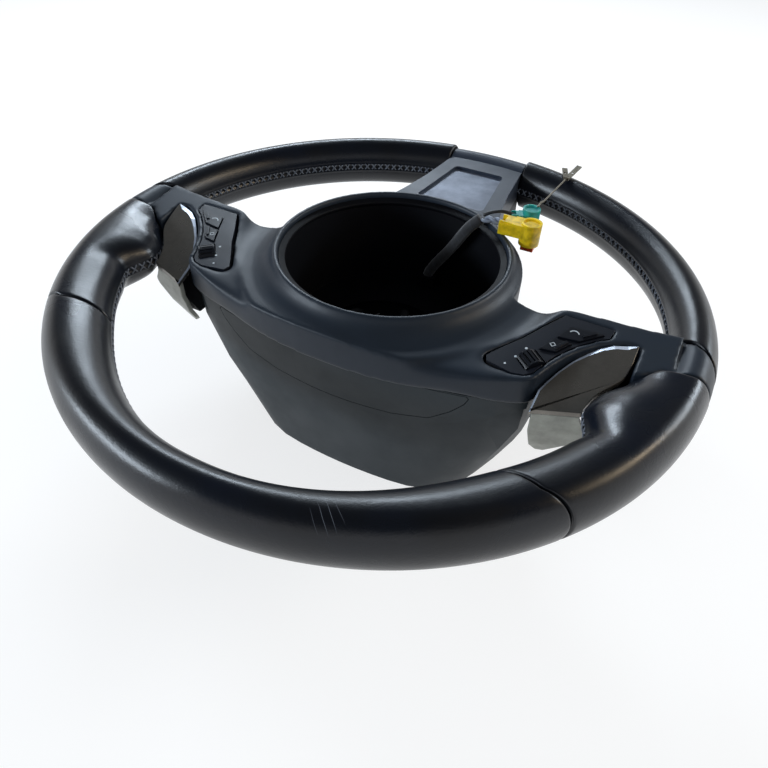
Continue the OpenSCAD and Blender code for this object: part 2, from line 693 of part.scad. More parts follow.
module core_slice(x0, x1, outline) translate([x0, 0, rim_z]) rotate([90, 0, 90])
    linear_extrude(height = x1 - x0) polygon(outline);

// Brackets on the casting that carry the shift switches
module shift_brackets() color([0.3, 0.31, 0.33]) both_sides() difference() {
    union() {
        for (x = [pivot_from, pivot_to - ear_t]) core_slice(x, x + ear_t, [[10, -16], [10, -9], [pivot_y, -9],
            [pivot_y + 3.5, -10.5], [pivot_y + 3.5, -14.5], [pivot_y + 2, -16]]);
        core_slice(pivot_from, pivot_to, [[bar_y + bar_w, -16], [bar_y + bar_w, -9], [14.5, -9],
            [14.5, -16]]);
    }
    translate([(pivot_from + pivot_to) / 2, pivot_y, rim_z + pivot_z]) rod_x(pivot_r, 60);
}

module shift_pins() color([0.7, 0.7, 0.72]) both_sides()
    translate([(pivot_from + pivot_to) / 2, pivot_y, rim_z + pivot_z]) rod_x(pivot_r, pivot_to - pivot_from);

// Wire springs on the hub plate that catch the airbag's studs
module retaining_springs() color([0.6, 0.6, 0.62]) for (a = [90, 210, 330]) rotate([0, 0, a])
    translate([23.1, 0, hub_floor + 0.8]) rotate([90, 0, 0]) translate([0, 0, -13])
        cylinder(r = 0.8, h = 26, $fn = 24);

// Points of the taped harness, from its clip up the cup wall to the lip
bundle_r = 3.6;
bundle_path = [[0, -71.5, hub_floor + 2.3], [0, -71.5, hub_floor + 11], [-6, -72.2, rim_z - 20],
    [-12, -71.2, rim_z - 11],
    [-17.5, -68.6, rim_z - 2], [-22.5, -65.8, rim_z + 7], [-27.5, -63.6, rim_z + 15.5],
        [-31, -64, rim_z + 20],
    [-34.5, -65, rim_z + 23.5]];
// Points of the lead to the teal plug
teal_path = [[-35.4, -66.6, rim_z + 25.6], [-39.5, -68.3, rim_z + 27.8], [-43.7, -70.4, rim_z + 28.7],
    [-47.4, -72.5, rim_z + 28.4], [-50.1, -73.9, rim_z + 27.4], [-51.9, -74.8, rim_z + 26.9]];
// Points of the pair of leads to the yellow plug
yellow_path = [[-36.2, -64.2, rim_z + 23], [-40.3, -64.4, rim_z + 25.2], [-44.3, -63.9, rim_z + 25.9],
    [-47.9, -63.2, rim_z + 25.7]];
lead_r = 1.1;
// Points of the bare tail wire, from the teal plug to the top of the rim
tail_path = [[-65.1, -80, rim_z + 33.1], [-64.7, -88, rim_z + 32.5], [-64.1, -98, rim_z + 28.8],
    [-63.5, -110, rim_z + 26], [-63, -122, rim_z + 23.6], [-62.8, -134, rim_z + 21.6],
        [-62.9, -146, rim_z + 20],
    [-63.3, -158, rim_z + 19.2]];
tail_r = 0.6;
// Place, slopes and length of the two crimped terminals
terminals = [[-63.3, -158.6, 18.2, -10, -12, 20], [-63.3, -158.6, 19.4, -2, 20, 15]];

// Ring of a tube at a point, square to its direction
function tube_ring(c, d, r, n) = let (
    z = d / norm(d), x0 = cross([0.9, 0.1, 0.2], z), x = x0 / norm(x0), y = cross(z, x))
    [for (i = [0:n - 1]) c + r * (x * cos(i * 360 / n) + y * sin(i * 360 / n))];

// Tube swept along a path
module tube(path, r, n) {
    m = len(path);
    points = [for (i = [0:m - 1]) each tube_ring(path[i],
        path[min(m - 1, i + 1)] - path[max(0, i - 1)], r, n)];
    polyhedron(points = points, faces = concat(
        [[for (j = [0:n - 1]) j]],
        [for (i = [0:m - 2], j = [0:n - 1]) let (k = (j + 1) % n, a = i * n, b = a + n)
            each [[a + j, b + k, a + k], [a + j, b + j, b + k]]],
        [[for (j = [0:n - 1]) m * n - 1 - j]]));
}

module harness_bundle() color([0.06, 0.06, 0.06]) tube(bundle_path, bundle_r, 10);

module teal_lead() color([0.08, 0.08, 0.08]) tube(teal_path, lead_r, 8);

module yellow_leads() color([0.5, 0.5, 0.52]) for (d = [-1.5, 1.5])
    tube([for (p = yellow_path) p + [0, -d, 0]], lead_r, 8);

module tail_wire() color([0.6, 0.6, 0.6]) tube(tail_path, tail_r, 8);

// Clip on the liner's wall that holds the harness
module harness_clip() color([0.08, 0.08, 0.09]) difference() {
    translate([-6.5, -hub_off - cup_r + 0.6, hub_floor + 3]) cube([13, 11.5, 7]);
    translate([0, -71.5, hub_floor - 8]) cylinder(r = bundle_r + 0.3, h = 40, $fn = 32);
}

// Frames of the two plugs: the yellow one lies across the collar's lip, the teal one behind it
plug_z = rim_z + lip_h + 0.3;

module on_yellow() translate([-57.5, -63, plug_z]) rotate([0, 0, 182]) children();

module on_teal() translate([-56, -76.3, plug_z]) rotate([0, 0, 200]) children();

// Airbag plug: flat body with a round right-angled head, whose top is dished
module plug(l, w, h, head_r, head_low, head_high) {
    difference() {
        translate([-l / 2, -w / 2, 0]) cube([l, w, h]);
        for (m = [-1, 1]) translate([-l / 2 - 1, m * w / 2 - 1, h - 1.2]) cube([l * 0.5, 2, 3]);
        translate([-l / 2 - 1, -w / 2 + 2, h / 2 + 0.9]) cube([4, w - 4, h]);
    }
    translate([l / 2 + 1, 0, head_low]) difference() {
        cylinder(r = head_r, h = head_high - head_low, $fn = 48);
        translate([0, 0, head_high - head_low - 1.2]) cylinder(r = head_r - 1.2, h = 2, $fn = 48);
    }
}

module teal_plug() color([0.2, 0.6, 0.58]) on_teal() plug(11, 8, 7, 5.5, -1.5, 10.8);

module yellow_plug() color([0.93, 0.8, 0.1]) on_yellow() plug(18, 11, 8.5, 6.3, -4.5, 9.6);

// Locking slide under the yellow plug's head
module plug_latch() color([0.85, 0.3, 0.08]) on_yellow() translate([10, 0, -6.6])
    cube([8, 6, 4], center = true);

// Two crimped terminals at the end of the tail wire
module tail_terminals() color([0.45, 0.43, 0.4]) for (t = terminals)
    translate([t[0], t[1], rim_z + t[2]]) rotate([t[3], 0, t[4]]) translate([-1.9, -t[5], 0]) difference() {
        cube([3.8, t[5], 0.8]);
        translate([1.9, t[5] / 2, -1]) cylinder(r = 1, h = 3, $fn = 24);
    }

armature();
rim_core();
rim_foam();
leather_top();
leather_grip(-1);  // leather_grip_left
leather_grip(1);  // leather_grip_right
leather_lower(-1);  // leather_lower_left
leather_lower(1);  // leather_lower_right
front_cover();
cup_liner();
rear_cover();
rear_panel();
bottom_spoke_face();
bottom_spoke_back();
switch_panel(-1);  // switch_panel_left
switch_panel(1);  // switch_panel_right
key_cap(-1, upper_key_plan, upper_bar);  // upper_key_left
key_cap(1, upper_key_plan, upper_bar);  // upper_key_right
key_cap(-1, lower_key_plan, lower_bar);  // lower_key_left
key_cap(1, lower_key_plan, lower_bar);  // lower_key_right
roller(-1);  // roller_left
roller(1);  // roller_right
roller_axles();
shift_plate(-1);  // shift_plate_left
shift_plate(1);  // shift_plate_right
shift_skirt(-1);  // shift_skirt_left
shift_skirt(1);  // shift_skirt_right
shift_core(-1);  // shift_core_left
shift_core(1);  // shift_core_right
shift_brackets();
shift_pins();
retaining_springs();
cover_screws();
harness_clip();
harness_bundle();
teal_lead();
yellow_leads();
teal_plug();
yellow_plug();
plug_latch();
tail_wire();
tail_terminals();
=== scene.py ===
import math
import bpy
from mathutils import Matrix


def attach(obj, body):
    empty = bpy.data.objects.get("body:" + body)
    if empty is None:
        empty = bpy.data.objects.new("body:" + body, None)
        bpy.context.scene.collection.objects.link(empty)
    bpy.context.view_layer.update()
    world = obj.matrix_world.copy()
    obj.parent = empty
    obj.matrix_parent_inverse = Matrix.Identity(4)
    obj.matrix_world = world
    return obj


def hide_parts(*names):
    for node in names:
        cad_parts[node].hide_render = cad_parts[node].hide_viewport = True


bl_info = {
    "name": "Three-Spoke Steering Wheel",
    "version": (1, 0, 0),
    "blender": (4, 5, 0),
    "location": "3D View > Sidebar > Steering Wheel",
    "description": "Dresses a car steering wheel's frame with leather, covers, controls and harness",
    "category": "Object",
}

from contextlib import contextmanager

import bmesh
import bpy
import numpy as np
from bpy.props import FloatProperty, FloatVectorProperty, IntProperty, PointerProperty
from mathutils import Matrix, Vector

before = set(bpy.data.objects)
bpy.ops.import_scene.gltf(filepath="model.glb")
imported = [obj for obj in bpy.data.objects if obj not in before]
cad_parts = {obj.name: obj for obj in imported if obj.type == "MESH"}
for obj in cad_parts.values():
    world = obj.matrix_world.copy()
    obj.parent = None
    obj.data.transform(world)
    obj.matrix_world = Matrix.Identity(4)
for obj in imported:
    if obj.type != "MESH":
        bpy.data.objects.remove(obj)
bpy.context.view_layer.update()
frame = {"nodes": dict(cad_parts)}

MM = 0.001
# Sizes that the frame is built on, in metres
RIM_Z = 0.110
RING_R = 0.1777
HALF_W = 0.0123
HALF_H = 0.0173
LEATHER_T = 0.0014
HUB_OFF = 0.0117
DECK_H = 0.0155
DECK_TILT = math.radians(7.4)
LOBE_OUT = 0.0215
LOBE_ROOT = 0.014
LOBE = [math.radians(a) for a in (8.0, 16.0, 18.5, 30.0)]
# How much fuller the rim is on its inner side, and where that grows and goes
SWELL = 0.0105
SWELL_AT = [math.radians(a) for a in (12.0, 30.0, 42.0, 86.0)]
TONGUE = 0.0075
# Where the 12 o'clock leather is scratched
SCRATCH_PLACE = (-0.065, 0.170, RIM_Z + 0.016)
SIDES = (("left", -1), ("right", 1))


def linear(code):
    """sRGB hex to linear colour."""
    parts = [int(code[i:i + 2], 16) / 255 for i in (1, 3, 5)]
    return tuple(p / 12.92 if p <= 0.04045 else ((p + 0.055) / 1.055) ** 2.4 for p in parts)


def rgba(colour):
    return (*colour[:3], 1.0)


def connect(node, inputs):
    """Sets a node's inputs: a socket or a node's first output is linked, the rest are values."""
    for key, value in inputs.items():
        if isinstance(value, bpy.types.Node):
            value = value.outputs[0]
        if isinstance(value, bpy.types.NodeSocket):
            node.id_data.links.new(value, node.inputs[key])
        else:
            node.inputs[key].default_value = value


def add(tree, kind, inputs=None, **settings):
    """Adds a node with its settings, values and links."""
    made = tree.nodes.new(kind)
    for key, value in settings.items():
        setattr(made, key, value)
    connect(made, inputs or {})
    return made


def colour_prop(name, what, code):
    return FloatVectorProperty(name=name, description=f"Colour of {what}", subtype="COLOR", size=3,
                               min=0, max=1, default=linear(code))


def size_prop(name, description, value, low, high):
    return FloatProperty(name=name, description=description, unit="LENGTH", subtype="DISTANCE",
                         default=value, min=low, max=high, precision=5)


class WheelLeather(bpy.types.PropertyGroup):
    colour: colour_prop("Leather", "the wrapped rim", "#080b12")
    # Paler bluish colour of the rubbed patches, which also paints the leather's glare
    glare: colour_prop("Rubbed leather and glare", "the leather where hands have rubbed it, paler and bluer by painted glare", "#10151f")
    thread_colour: colour_prop("Thread", "the sewing thread", "#5f646e")
    grain: size_prop("Grain", "Size of one pebble of the leather's grain", 0.0009, 0.0004, 0.003)
    channel: size_prop("Channel depth", "Depth of the sewn channel on the rim's inner side", 0.0009, 0, 0.002)
    pitch: size_prop("Stitch pitch", "Distance from stitch to stitch", 0.0052, 0.003, 0.01)
    stitch: size_prop("Stitch reach", "Half height of a stitch across the seam", 0.0031, 0.001, 0.004)
    thread: size_prop("Thread radius", "Radius of the sewing thread", 0.0005, 0.0002, 0.0008)
    lean: FloatProperty(name="Stitch lean", description="Lean of a stitch along the seam",
                        subtype="ANGLE", default=math.radians(38), min=0, max=1.2)
    roll: size_prop("Edge roll", "Radius of the leather's turned edge at a seam", 0.0013, 0.0005, 0.002)


class WheelCovers(bpy.types.PropertyGroup):
    front: colour_prop("Front cover", "the soft-touch front cover", "#1b232d")
    rear: colour_prop("Rear cover", "the rear cover", "#1f272c")
    # Near-black: the liner's black nylon, deepened by painted shade of the cup's inside
    cup: colour_prop("Airbag cup", "the cup's liner", "#020308")
    spoke: colour_prop("Bottom spoke", "the painted bottom spoke's pocket", "#565e6e")
    frame: colour_prop("Bottom spoke frame", "the bottom spoke round its pocket", "#262d39")
    edge: size_prop("Moulded edge", "Radius of the covers' moulded edges", 0.0007, 0.0002, 0.002)


class WheelControls(bpy.types.PropertyGroup):
    panel: colour_prop("Switch panel", "the switch panels", "#12161f")
    key: colour_prop("Keys", "keys and rollers", "#0d1017")
    mark: colour_prop("Marks", "the printed marks", "#c9d2d8")
    plate: colour_prop("Shift plate", "the shift switches' thumb plates", "#7e7a74")
    skirt: colour_prop("Shift skirt", "the skirt below a thumb plate", "#a3a49b")
    edge: size_prop("Key edge", "Radius of a key's edges", 0.00035, 0.0001, 0.001)


class WheelHarness(bpy.types.PropertyGroup):
    teal: colour_prop("Teal plug", "the teal airbag plug", "#1f9a94")
    yellow: colour_prop("Yellow plug", "the yellow airbag plug", "#ecc91f")
    latch: colour_prop("Latch", "the yellow plug's locking slide", "#cf4a1a")
    sides: IntProperty(name="Sides", description="Sides of a round lead", default=16, min=8, max=32)


def cleared_tree(owner):
    """The empty node tree of a material or a world."""
    owner.use_nodes = True
    owner.node_tree.nodes.clear()
    return owner.node_tree


def new_material(name, colour, roughness, metallic=0.0, **values):
    """A material with its shader's plain values; returns it with its shader and object coordinates."""
    made = bpy.data.materials.new(name)
    tree = cleared_tree(made)
    shader = add(tree, "ShaderNodeBsdfPrincipled", {
        "Base Color": rgba(colour), "Roughness": roughness, "Metallic": metallic, **values})
    add(tree, "ShaderNodeOutputMaterial", {"Surface": shader})
    return made, shader, add(tree, "ShaderNodeTexCoord").outputs["Object"]


def shaded(colour, share, lift=0.0):
    return [min(1.0, c * share + lift) for c in colour]


def patches(where, size, detail, low=0.0, high=1.0, rough=0.5):
    """Soft patches of about a size in metres, as a share from 0 to 1."""
    cloud = add(where.id_data, "ShaderNodeTexNoise", {
        "Vector": where, "Scale": 1 / size, "Detail": detail, "Roughness": rough})
    return add(where.id_data, "ShaderNodeMapRange", {"Value": cloud, "From Min": low, "From Max": high})


def toned(shader, share, low, high, gloss=None):
    """Lets a share run a shader between two colours and, where given, between two roughnesses."""
    tree = shader.id_data
    tint = add(tree, "ShaderNodeMix", {0: share, 6: rgba(low), 7: rgba(high)}, data_type="RGBA").outputs[2]
    connect(shader, {"Base Color": tint})
    if gloss:
        connect(shader, {"Roughness": add(tree, "ShaderNodeMapRange", {
            "Value": share, "To Min": gloss[0], "To Max": gloss[1]})})
    return tint


def grained(shader, where, size, detail, depth, strength=0.5):
    """Raises a noisy grain of about a size on a shader's surface."""
    skin = add(shader.id_data, "ShaderNodeTexNoise", {"Vector": where, "Scale": 1 / size, "Detail": detail})
    connect(shader, {"Normal": add(shader.id_data, "ShaderNodeBump", {
        "Height": skin, "Distance": depth, "Strength": strength})})


def worn_leather_and_glare(props):
    """Chrome-tanned leather with a black finish coat: satin, its pebbled grain rubbed flat by hands, so it
    shines in broad patches, which are also painted paler and bluer as glare; fine creases cross the grips and
    pale scratches mark the 12 o'clock piece."""
    made, shader, where = new_material("worn coated leather with painted glare", props.colour, 0.28,
                                       **{"Specular IOR Level": 0.4})
    tree = shader.id_data
    # Rubbed patches about 45 mm across are smoother, and are painted paler and bluer as glare
    tint = toned(shader, patches(where, 0.045, 3.0, 0.4, 0.7), props.colour, props.glare)
    gloss = add(tree, "ShaderNodeMapRange", {
        "Value": patches(where, 0.045, 3.0, 0.35, 0.7), "To Min": 0.36, "To Max": 0.23})
    # Scratches: thin lines about 3.5 mm apart, which fade out 8 mm from one place on the rim's top
    local = add(tree, "ShaderNodeMapping", {
        "Vector": where, "Location": SCRATCH_PLACE, "Rotation": (0, 0, 0.95)}, vector_type="TEXTURE")
    waves = add(tree, "ShaderNodeTexWave", {
        "Vector": local, "Scale": 1 / 0.011, "Distortion": 3.5, "Detail": 1.0, "Detail Scale": 0.6})
    thin = add(tree, "ShaderNodeMapRange", {
        "Value": waves.outputs["Fac"], "From Min": 0.975, "From Max": 1.0, "To Max": 0.4})
    away = add(tree, "ShaderNodeVectorMath", {0: local}, operation="LENGTH")
    near = add(tree, "ShaderNodeMapRange", {
        "Value": away.outputs["Value"], "From Min": 0.003, "From Max": 0.008, "To Min": 1.0, "To Max": 0.0})
    scratch = add(tree, "ShaderNodeMath", {0: thin, 1: near}, operation="MULTIPLY")
    worn = add(tree, "ShaderNodeMix", {0: scratch, 6: tint, 7: rgba(linear("#8a909c"))}, data_type="RGBA")
    # Grain of 0.9 mm pebbles over creases 7 mm apart
    cells = add(tree, "ShaderNodeTexVoronoi", {"Vector": where, "Scale": 1 / props.grain, "Randomness": 0.9})
    creases = add(tree, "ShaderNodeTexNoise", {
        "Vector": where, "Scale": 1 / 0.007, "Detail": 5.0, "Distortion": 1.6})
    height = add(tree, "ShaderNodeMath", {0: cells, 1: 0.3, 2: creases}, operation="MULTIPLY_ADD")
    bump = add(tree, "ShaderNodeBump", {"Height": height, "Distance": 0.00018, "Strength": 0.45})
    connect(shader, {"Base Color": worn.outputs[2], "Roughness": gloss, "Normal": bump})
    return made


def moulded(name, colour, roughness, grain=0.0006, depth=0.00003, worn=0.06, mirror=0.3):
    """Injection-moulded plastic with a spark-eroded skin: even colour, a fine matt grain, handling marks."""
    made, shader, where = new_material(name, colour, roughness, **{"Specular IOR Level": mirror})
    # Handling marks about 35 mm across
    marks = patches(where, 0.035, 4.0, 0.3, 0.7, 0.6)
    toned(shader, marks, colour, shaded(colour, 1.25, 0.002), (roughness + worn, roughness - worn))
    grained(shader, where, grain, 2.0, depth)
    return made


def satin_paint(name, colour, roughness, metallic):
    """Metallic paint on moulded plastic: a flake too fine to see, cloudy polish marks, faint dark scuffs."""
    made, shader, where = new_material(name, colour, roughness, metallic)
    clouds = patches(where, 0.014, 5.0, 0.35, 0.65, 0.65)
    toned(shader, clouds, shaded(colour, 0.72), colour, (roughness + 0.08, roughness - 0.05))
    # Orange peel of a sprayed coat, 1 mm across
    grained(shader, where, 0.001, 1.0, 0.00002, 0.4)
    return made


def metal(name, colour, roughness, grain, depth):
    """Bare metal from a die or a plating bath: dull bright skin with flow marks and small pits."""
    made, shader, where = new_material(name, colour, roughness, 1.0)
    flow = patches(where, 0.018, 4.0, 0.3, 0.7, 0.6)
    toned(shader, flow, shaded(colour, 0.72), colour, (roughness + 0.1, roughness - 0.08))
    grained(shader, where, grain, 3.0, depth)
    return made


def taped_cloth(colour):
    """Cloth harness tape wound in a helix: overlapping edges every few millimetres, each painted paler as a
    highlight, and a fine weave.
    """
    made, shader, where = new_material("wound harness tape", colour, 0.75, **{"Sheen Weight": 0.3})
    tree = shader.id_data
    uv = add(tree, "ShaderNodeSeparateXYZ", {"Vector": where.node.outputs["UV"]}).outputs
    # The tape advances 7 mm a turn
    turns = add(tree, "ShaderNodeMath", {0: uv["X"], 1: 1 / 0.007, 2: uv["Y"]}, operation="MULTIPLY_ADD")
    lap = add(tree, "ShaderNodeMath", {0: turns}, operation="FRACT")
    # The last part of each turn, at the overlapping edge, is painted paler: a painted highlight where the
    # edge catches light
    edge = add(tree, "ShaderNodeMapRange", {"Value": lap, "From Min": 0.7, "From Max": 1.0})
    toned(shader, edge, colour, shaded(colour, 2.4))
    weave = add(tree, "ShaderNodeTexNoise", {"Vector": where, "Scale": 1 / 0.0005, "Detail": 1.0})
    height = add(tree, "ShaderNodeMath", {0: weave, 1: 0.25, 2: lap}, operation="MULTIPLY_ADD")
    connect(shader, {"Normal": add(tree, "ShaderNodeBump", {
        "Height": height, "Distance": 0.0004, "Strength": 0.7})})
    return made


def clear_plug(name, colour, through, roughness):
    """Unfilled polyester of airbag plugs: saturated, glossy, and light comes a little way through it."""
    made, shader, where = new_material(name, colour, roughness, **{
        "Subsurface Weight": through, "Subsurface Radius": (0.004, 0.003, 0.001), "Subsurface Scale": 1.0,
        "Coat Weight": 0.2, "Coat Roughness": 0.15})
    # Flow of the resin and the parts seen dimly through it, 5 mm across
    toned(shader, patches(where, 0.005, 3.0, 0.35, 0.6), shaded(colour, 0.6), colour)
    return made


def insulation(name, colour, roughness):
    """Extruded PVC insulation: smooth, faintly streaked along the lead."""
    made, shader, where = new_material(name, colour, roughness)
    toned(shader, patches(where, 0.004, 2.0), colour, shaded(colour, 1.5, 0.01))
    return made


def sewing_thread(colour):
    """Bonded polyester thread: dull, three strands twisted together, paler than the leather."""
    made, shader, where = new_material("bonded polyester thread", colour, 0.6)
    grained(shader, where, 0.0004, 1.0, 0.0001, 0.6)
    return made


def printed_mark(colour):
    """Pad-printed mark: pale, dull, thin enough for the grain below to break it up."""
    made, shader, where = new_material("pale printed mark", colour, 0.5)
    toned(shader, patches(where, 0.0015, 3.0), shaded(colour, 0.6), colour)
    return made


def all_materials(scene):
    """Every finish of the wheel by the name of the record's slot."""
    leather, covers, controls, harness = (getattr(scene, name) for name in GROUPS)
    return {
        "leather_black": worn_leather_and_glare(leather),
        # Polyurethane foam moulded in place: dull, open pores where it shows at a seam
        "foam_dark": moulded("moulded polyurethane foam", linear("#0c0c0e"), 0.8, 0.001, 0.0001),
        # Pressure-cast magnesium with a black conversion coat: nearly black, a faint metal sheen
        "casting": metal("blackened cast magnesium", linear("#24262a"), 0.55, 0.0012, 0.0001),
        # Coated ABS: a soft broad sheen and no sharp reflection
        "cover_slate": moulded("soft-touch coated ABS", covers.front, 0.44, 0.0004, 0.00002),
        # Uncoated ABS with a coarser eroded grain: duller than the front
        "cover_rear": moulded("grained ABS of the rear cover", covers.rear, 0.52),
        # Glass-filled nylon, quite dull, its black deepened to near-black as painted shade of the cup's
        # inside, so the cup reads as a hole
        "cup_black": moulded("matt black nylon and painted shade of the cup", covers.cup, 0.6, mirror=0.15),
        # Satin ABS: smoother than the covers, so it mirrors the room a little
        "switch_dark": moulded("satin black ABS of the switch panels", controls.panel, 0.4, 0.0004, 0.00002),
        # Painted polycarbonate caps: the smoothest plastic on the spoke
        "key_black": moulded("painted polycarbonate of the keys", controls.key, 0.34, 0.0004, 0.00001),
        # Bronze-grey metallic paint: dark satin metal look on the thumb plates
        "plate_bronze": satin_paint("bronze satin paint of the shift plates", controls.plate, 0.3, 0.75),
        # Pale metallic paint: even light grey, little shine
        "skirt_grey": satin_paint("pale satin paint of the shift skirts", controls.skirt, 0.42, 0.3),
        # Acetal moulded against a polished tool: black with small sharp highlights
        "core_black": moulded("glossy black acetal", linear("#0a0b0f"), 0.22, 0.001, 0.00001, 0.04),
        # Blue-grey metallic paint: pale satin bottom spoke
        "spoke_violet": satin_paint("blue grey satin paint of the bottom spoke", covers.spoke, 0.42, 0.3),
        # The same coat in dark slate on the spoke's frame, as on the front cover
        "spoke_frame": moulded("soft-touch coated ABS of the spoke", covers.frame, 0.44, 0.0004, 0.00002),
        # Grained ABS: dull black back of the spoke
        "spoke_back": moulded("grained ABS of the spoke's back", linear("#121317"), 0.6),
        # Zinc plate over spring steel: bright, slightly blue
        "steel": metal("zinc-plated spring steel", linear("#8e9196"), 0.34, 0.0008, 0.00002),
        "tape_black": taped_cloth(linear("#14151a")),
        "lead_black": insulation("black PVC insulation", linear("#101116"), 0.4),
        "lead_grey": insulation("grey PVC insulation", linear("#6f7684"), 0.4),
        "plug_teal": clear_plug("teal PBT of the plug", harness.teal, 0.15, 0.35),
        "plug_yellow": clear_plug("yellow PBT of the plug", harness.yellow, 0.35, 0.3),
        "latch_orange": clear_plug("orange PBT of the latch", harness.latch, 0.2, 0.35),
        # Tinned copper, dulled by air: warm grey with small pits
        "wire_bare": metal("tinned copper wire and terminals", linear("#7d7668"), 0.42, 0.0006, 0.00003),
        # The plates' edge is cut bright after painting: a thin clear line, its glint painted into a pale
        # diffuse colour that shines from every side
        "cut_edge": satin_paint("diamond-cut edge with painted glint of the shift plates", linear("#c3ccdc"), 0.3, 0.4),
        "thread": sewing_thread(leather.thread_colour),
        "mark": printed_mark(controls.mark),
    }


FINISH = {}


def finish_of(name):
    """The finish of a record slot, made once."""
    if not FINISH:
        FINISH.update(all_materials(bpy.context.scene))
    return FINISH[name]


def linked(name, data):
    """An object in the scene with its data."""
    made = bpy.data.objects.new(name, data)
    bpy.context.scene.collection.objects.link(made)
    return made


def plain_mesh(source):
    """The smooth-shaded mesh that an object's modifiers make of it; the object itself goes."""
    bpy.context.view_layer.update()
    depsgraph = bpy.context.evaluated_depsgraph_get()
    made = bpy.data.meshes.new_from_object(source.evaluated_get(depsgraph))
    if not made.polygons:
        raise RuntimeError(f"{source.name} came out empty")
    bpy.data.objects.remove(source)
    for face in made.polygons:
        face.use_smooth = True
    return made


def new_piece(name, mesh, slot, body, *nodes):
    """Links a finished mesh as a piece that rides on a body and stands for its nodes."""
    piece = linked(name, mesh)
    mesh.materials.clear()
    mesh.materials.append(finish_of(slot))
    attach(piece, body)
    if nodes:
        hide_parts(*nodes)
    return piece


@contextmanager
def edited(mesh, merge=0.0):
    """Opens a mesh for editing, its doubles merged first where a distance is given."""
    shape = bmesh.new()
    shape.from_mesh(mesh)
    if merge:
        bmesh.ops.remove_doubles(shape, verts=shape.verts, dist=merge)
    yield shape
    shape.to_mesh(mesh)
    shape.free()


def closed_mesh(name, points, faces, smooth=True):
    """A mesh from points and faces, its doubles merged and its normals turned outwards."""
    mesh = bpy.data.meshes.new(name)
    mesh.from_pydata(points, [], faces)
    with edited(mesh, 1e-6) as shape:
        bmesh.ops.recalc_face_normals(shape, faces=shape.faces)
        for face in shape.faces:
            face.smooth = smooth
    return mesh


def softened(node, name, slot, width, angle=30, flat=1.0, body="wheel"):
    """A copy of a CAD solid with moulded edges and even shading, which stands for it."""
    mesh = frame["nodes"][node].data.copy()
    with edited(mesh, 1e-5) as shape:
        bmesh.ops.dissolve_degenerate(shape, dist=1e-5, edges=shape.edges)
        bmesh.ops.dissolve_limit(shape, angle_limit=math.radians(flat), use_dissolve_boundaries=False,
                                 verts=shape.verts, edges=shape.edges)
        for face in shape.faces:
            face.smooth = True
    piece = new_piece(name, mesh, slot, body, node)
    edge = piece.modifiers.new("moulded edge", "BEVEL")
    edge.width = width
    edge.segments = 2
    edge.limit_method = "ANGLE"
    edge.angle_limit = math.radians(angle)
    piece.modifiers.new("even shading", "WEIGHTED_NORMAL").keep_sharp = True
    return piece


def deck_point(x, y, z):
    """A point of the sloping deck's frame, given in millimetres, in metres."""
    turned = Matrix.Rotation(-DECK_TILT, 3, "X") @ Vector((x, y, z))
    return Vector((turned.x * MM, turned.y * MM, turned.z * MM + RIM_Z + DECK_H))


def smooth_path(points):
    """A smooth curve through points, sampled about every 1.2 mm."""
    ends = [points[0] * 2 - points[1], *points, points[-1] * 2 - points[-2]]
    out = []
    for i in range(1, len(ends) - 2):
        a, b, c, d = ends[i - 1:i + 3]
        count = max(2, round((c - b).length / 0.0012))
        for j in range(count):
            t = j / count
            out.append(0.5 * (2 * b + (c - a) * t + (2 * a - 5 * b + 4 * c - d) * t * t
                              + (3 * b - a - 3 * c + d) * t ** 3))
    return [*out, points[-1]]


def path_frames(path):
    """Two directions square to a path at each of its points, carried along without twist."""
    frames = []
    across = Vector((0.9, 0.1, 0.2))
    for i in range(len(path)):
        along = (path[min(len(path) - 1, i + 1)] - path[max(0, i - 1)]).normalized()
        across = (across - along * across.dot(along)).normalized()
        frames.append((across, along.cross(across)))
    return frames


def tube_mesh(name, path, radius, sides):
    """A closed tube round a path, with its length and its turn as the UV map."""
    points, faces, lengths = [], [], [0.0]
    for a, b in zip(path, path[1:]):
        lengths.append(lengths[-1] + (b - a).length)
    for centre, (u, v) in zip(path, path_frames(path)):
        for j in range(sides):
            a = 2 * math.pi * j / sides
            points.append(centre + (u * math.cos(a) + v * math.sin(a)) * radius)
    for i in range(0, (len(path) - 1) * sides, sides):
        for j in range(sides):
            k = (j + 1) % sides
            faces.append((i + j, i + k, i + sides + k, i + sides + j))
    faces += [tuple(range(sides)), tuple(range(len(points) - 1, len(points) - 1 - sides, -1))]
    mesh = closed_mesh(name, points, faces)
    uv = mesh.uv_layers.new(name="length and turn")
    for loop in mesh.loops:
        i, j = divmod(loop.vertex_index, sides)
        uv.data[loop.index].uv = (lengths[i], j / sides)
    return mesh


def new_tube(name, path, radius, sides, slot, node):
    return new_piece(name, tube_mesh(name, path, radius, sides), slot, "wheel", node)


def ease(t):
    t = min(1.0, max(0.0, t))
    return t * t * (3 - 2 * t)


def lobe(th):
    """How far the thumb lobe stands in at a polar angle of the right half."""
    rise = LOBE_ROOT + (LOBE_OUT - LOBE_ROOT) * ease((th - LOBE[0]) / (LOBE[1] - LOBE[0]))
    return rise * (1 - ease((th - LOBE[2]) / (LOBE[3] - LOBE[2])))


def fullness(th, with_lobe):
    """How far the leather stands in beyond the plain ring's oval at a polar angle."""
    if th < 0:
        return 0.0
    th = min(th, math.pi - th)
    swell = SWELL * ease((th - SWELL_AT[0]) / (SWELL_AT[1] - SWELL_AT[0]))
    swell *= 1 - ease((th - SWELL_AT[2]) / (SWELL_AT[3] - SWELL_AT[2]))
    thumb = lobe(th) if with_lobe else 0.0
    return (swell ** 4 + thumb ** 4) ** 0.25


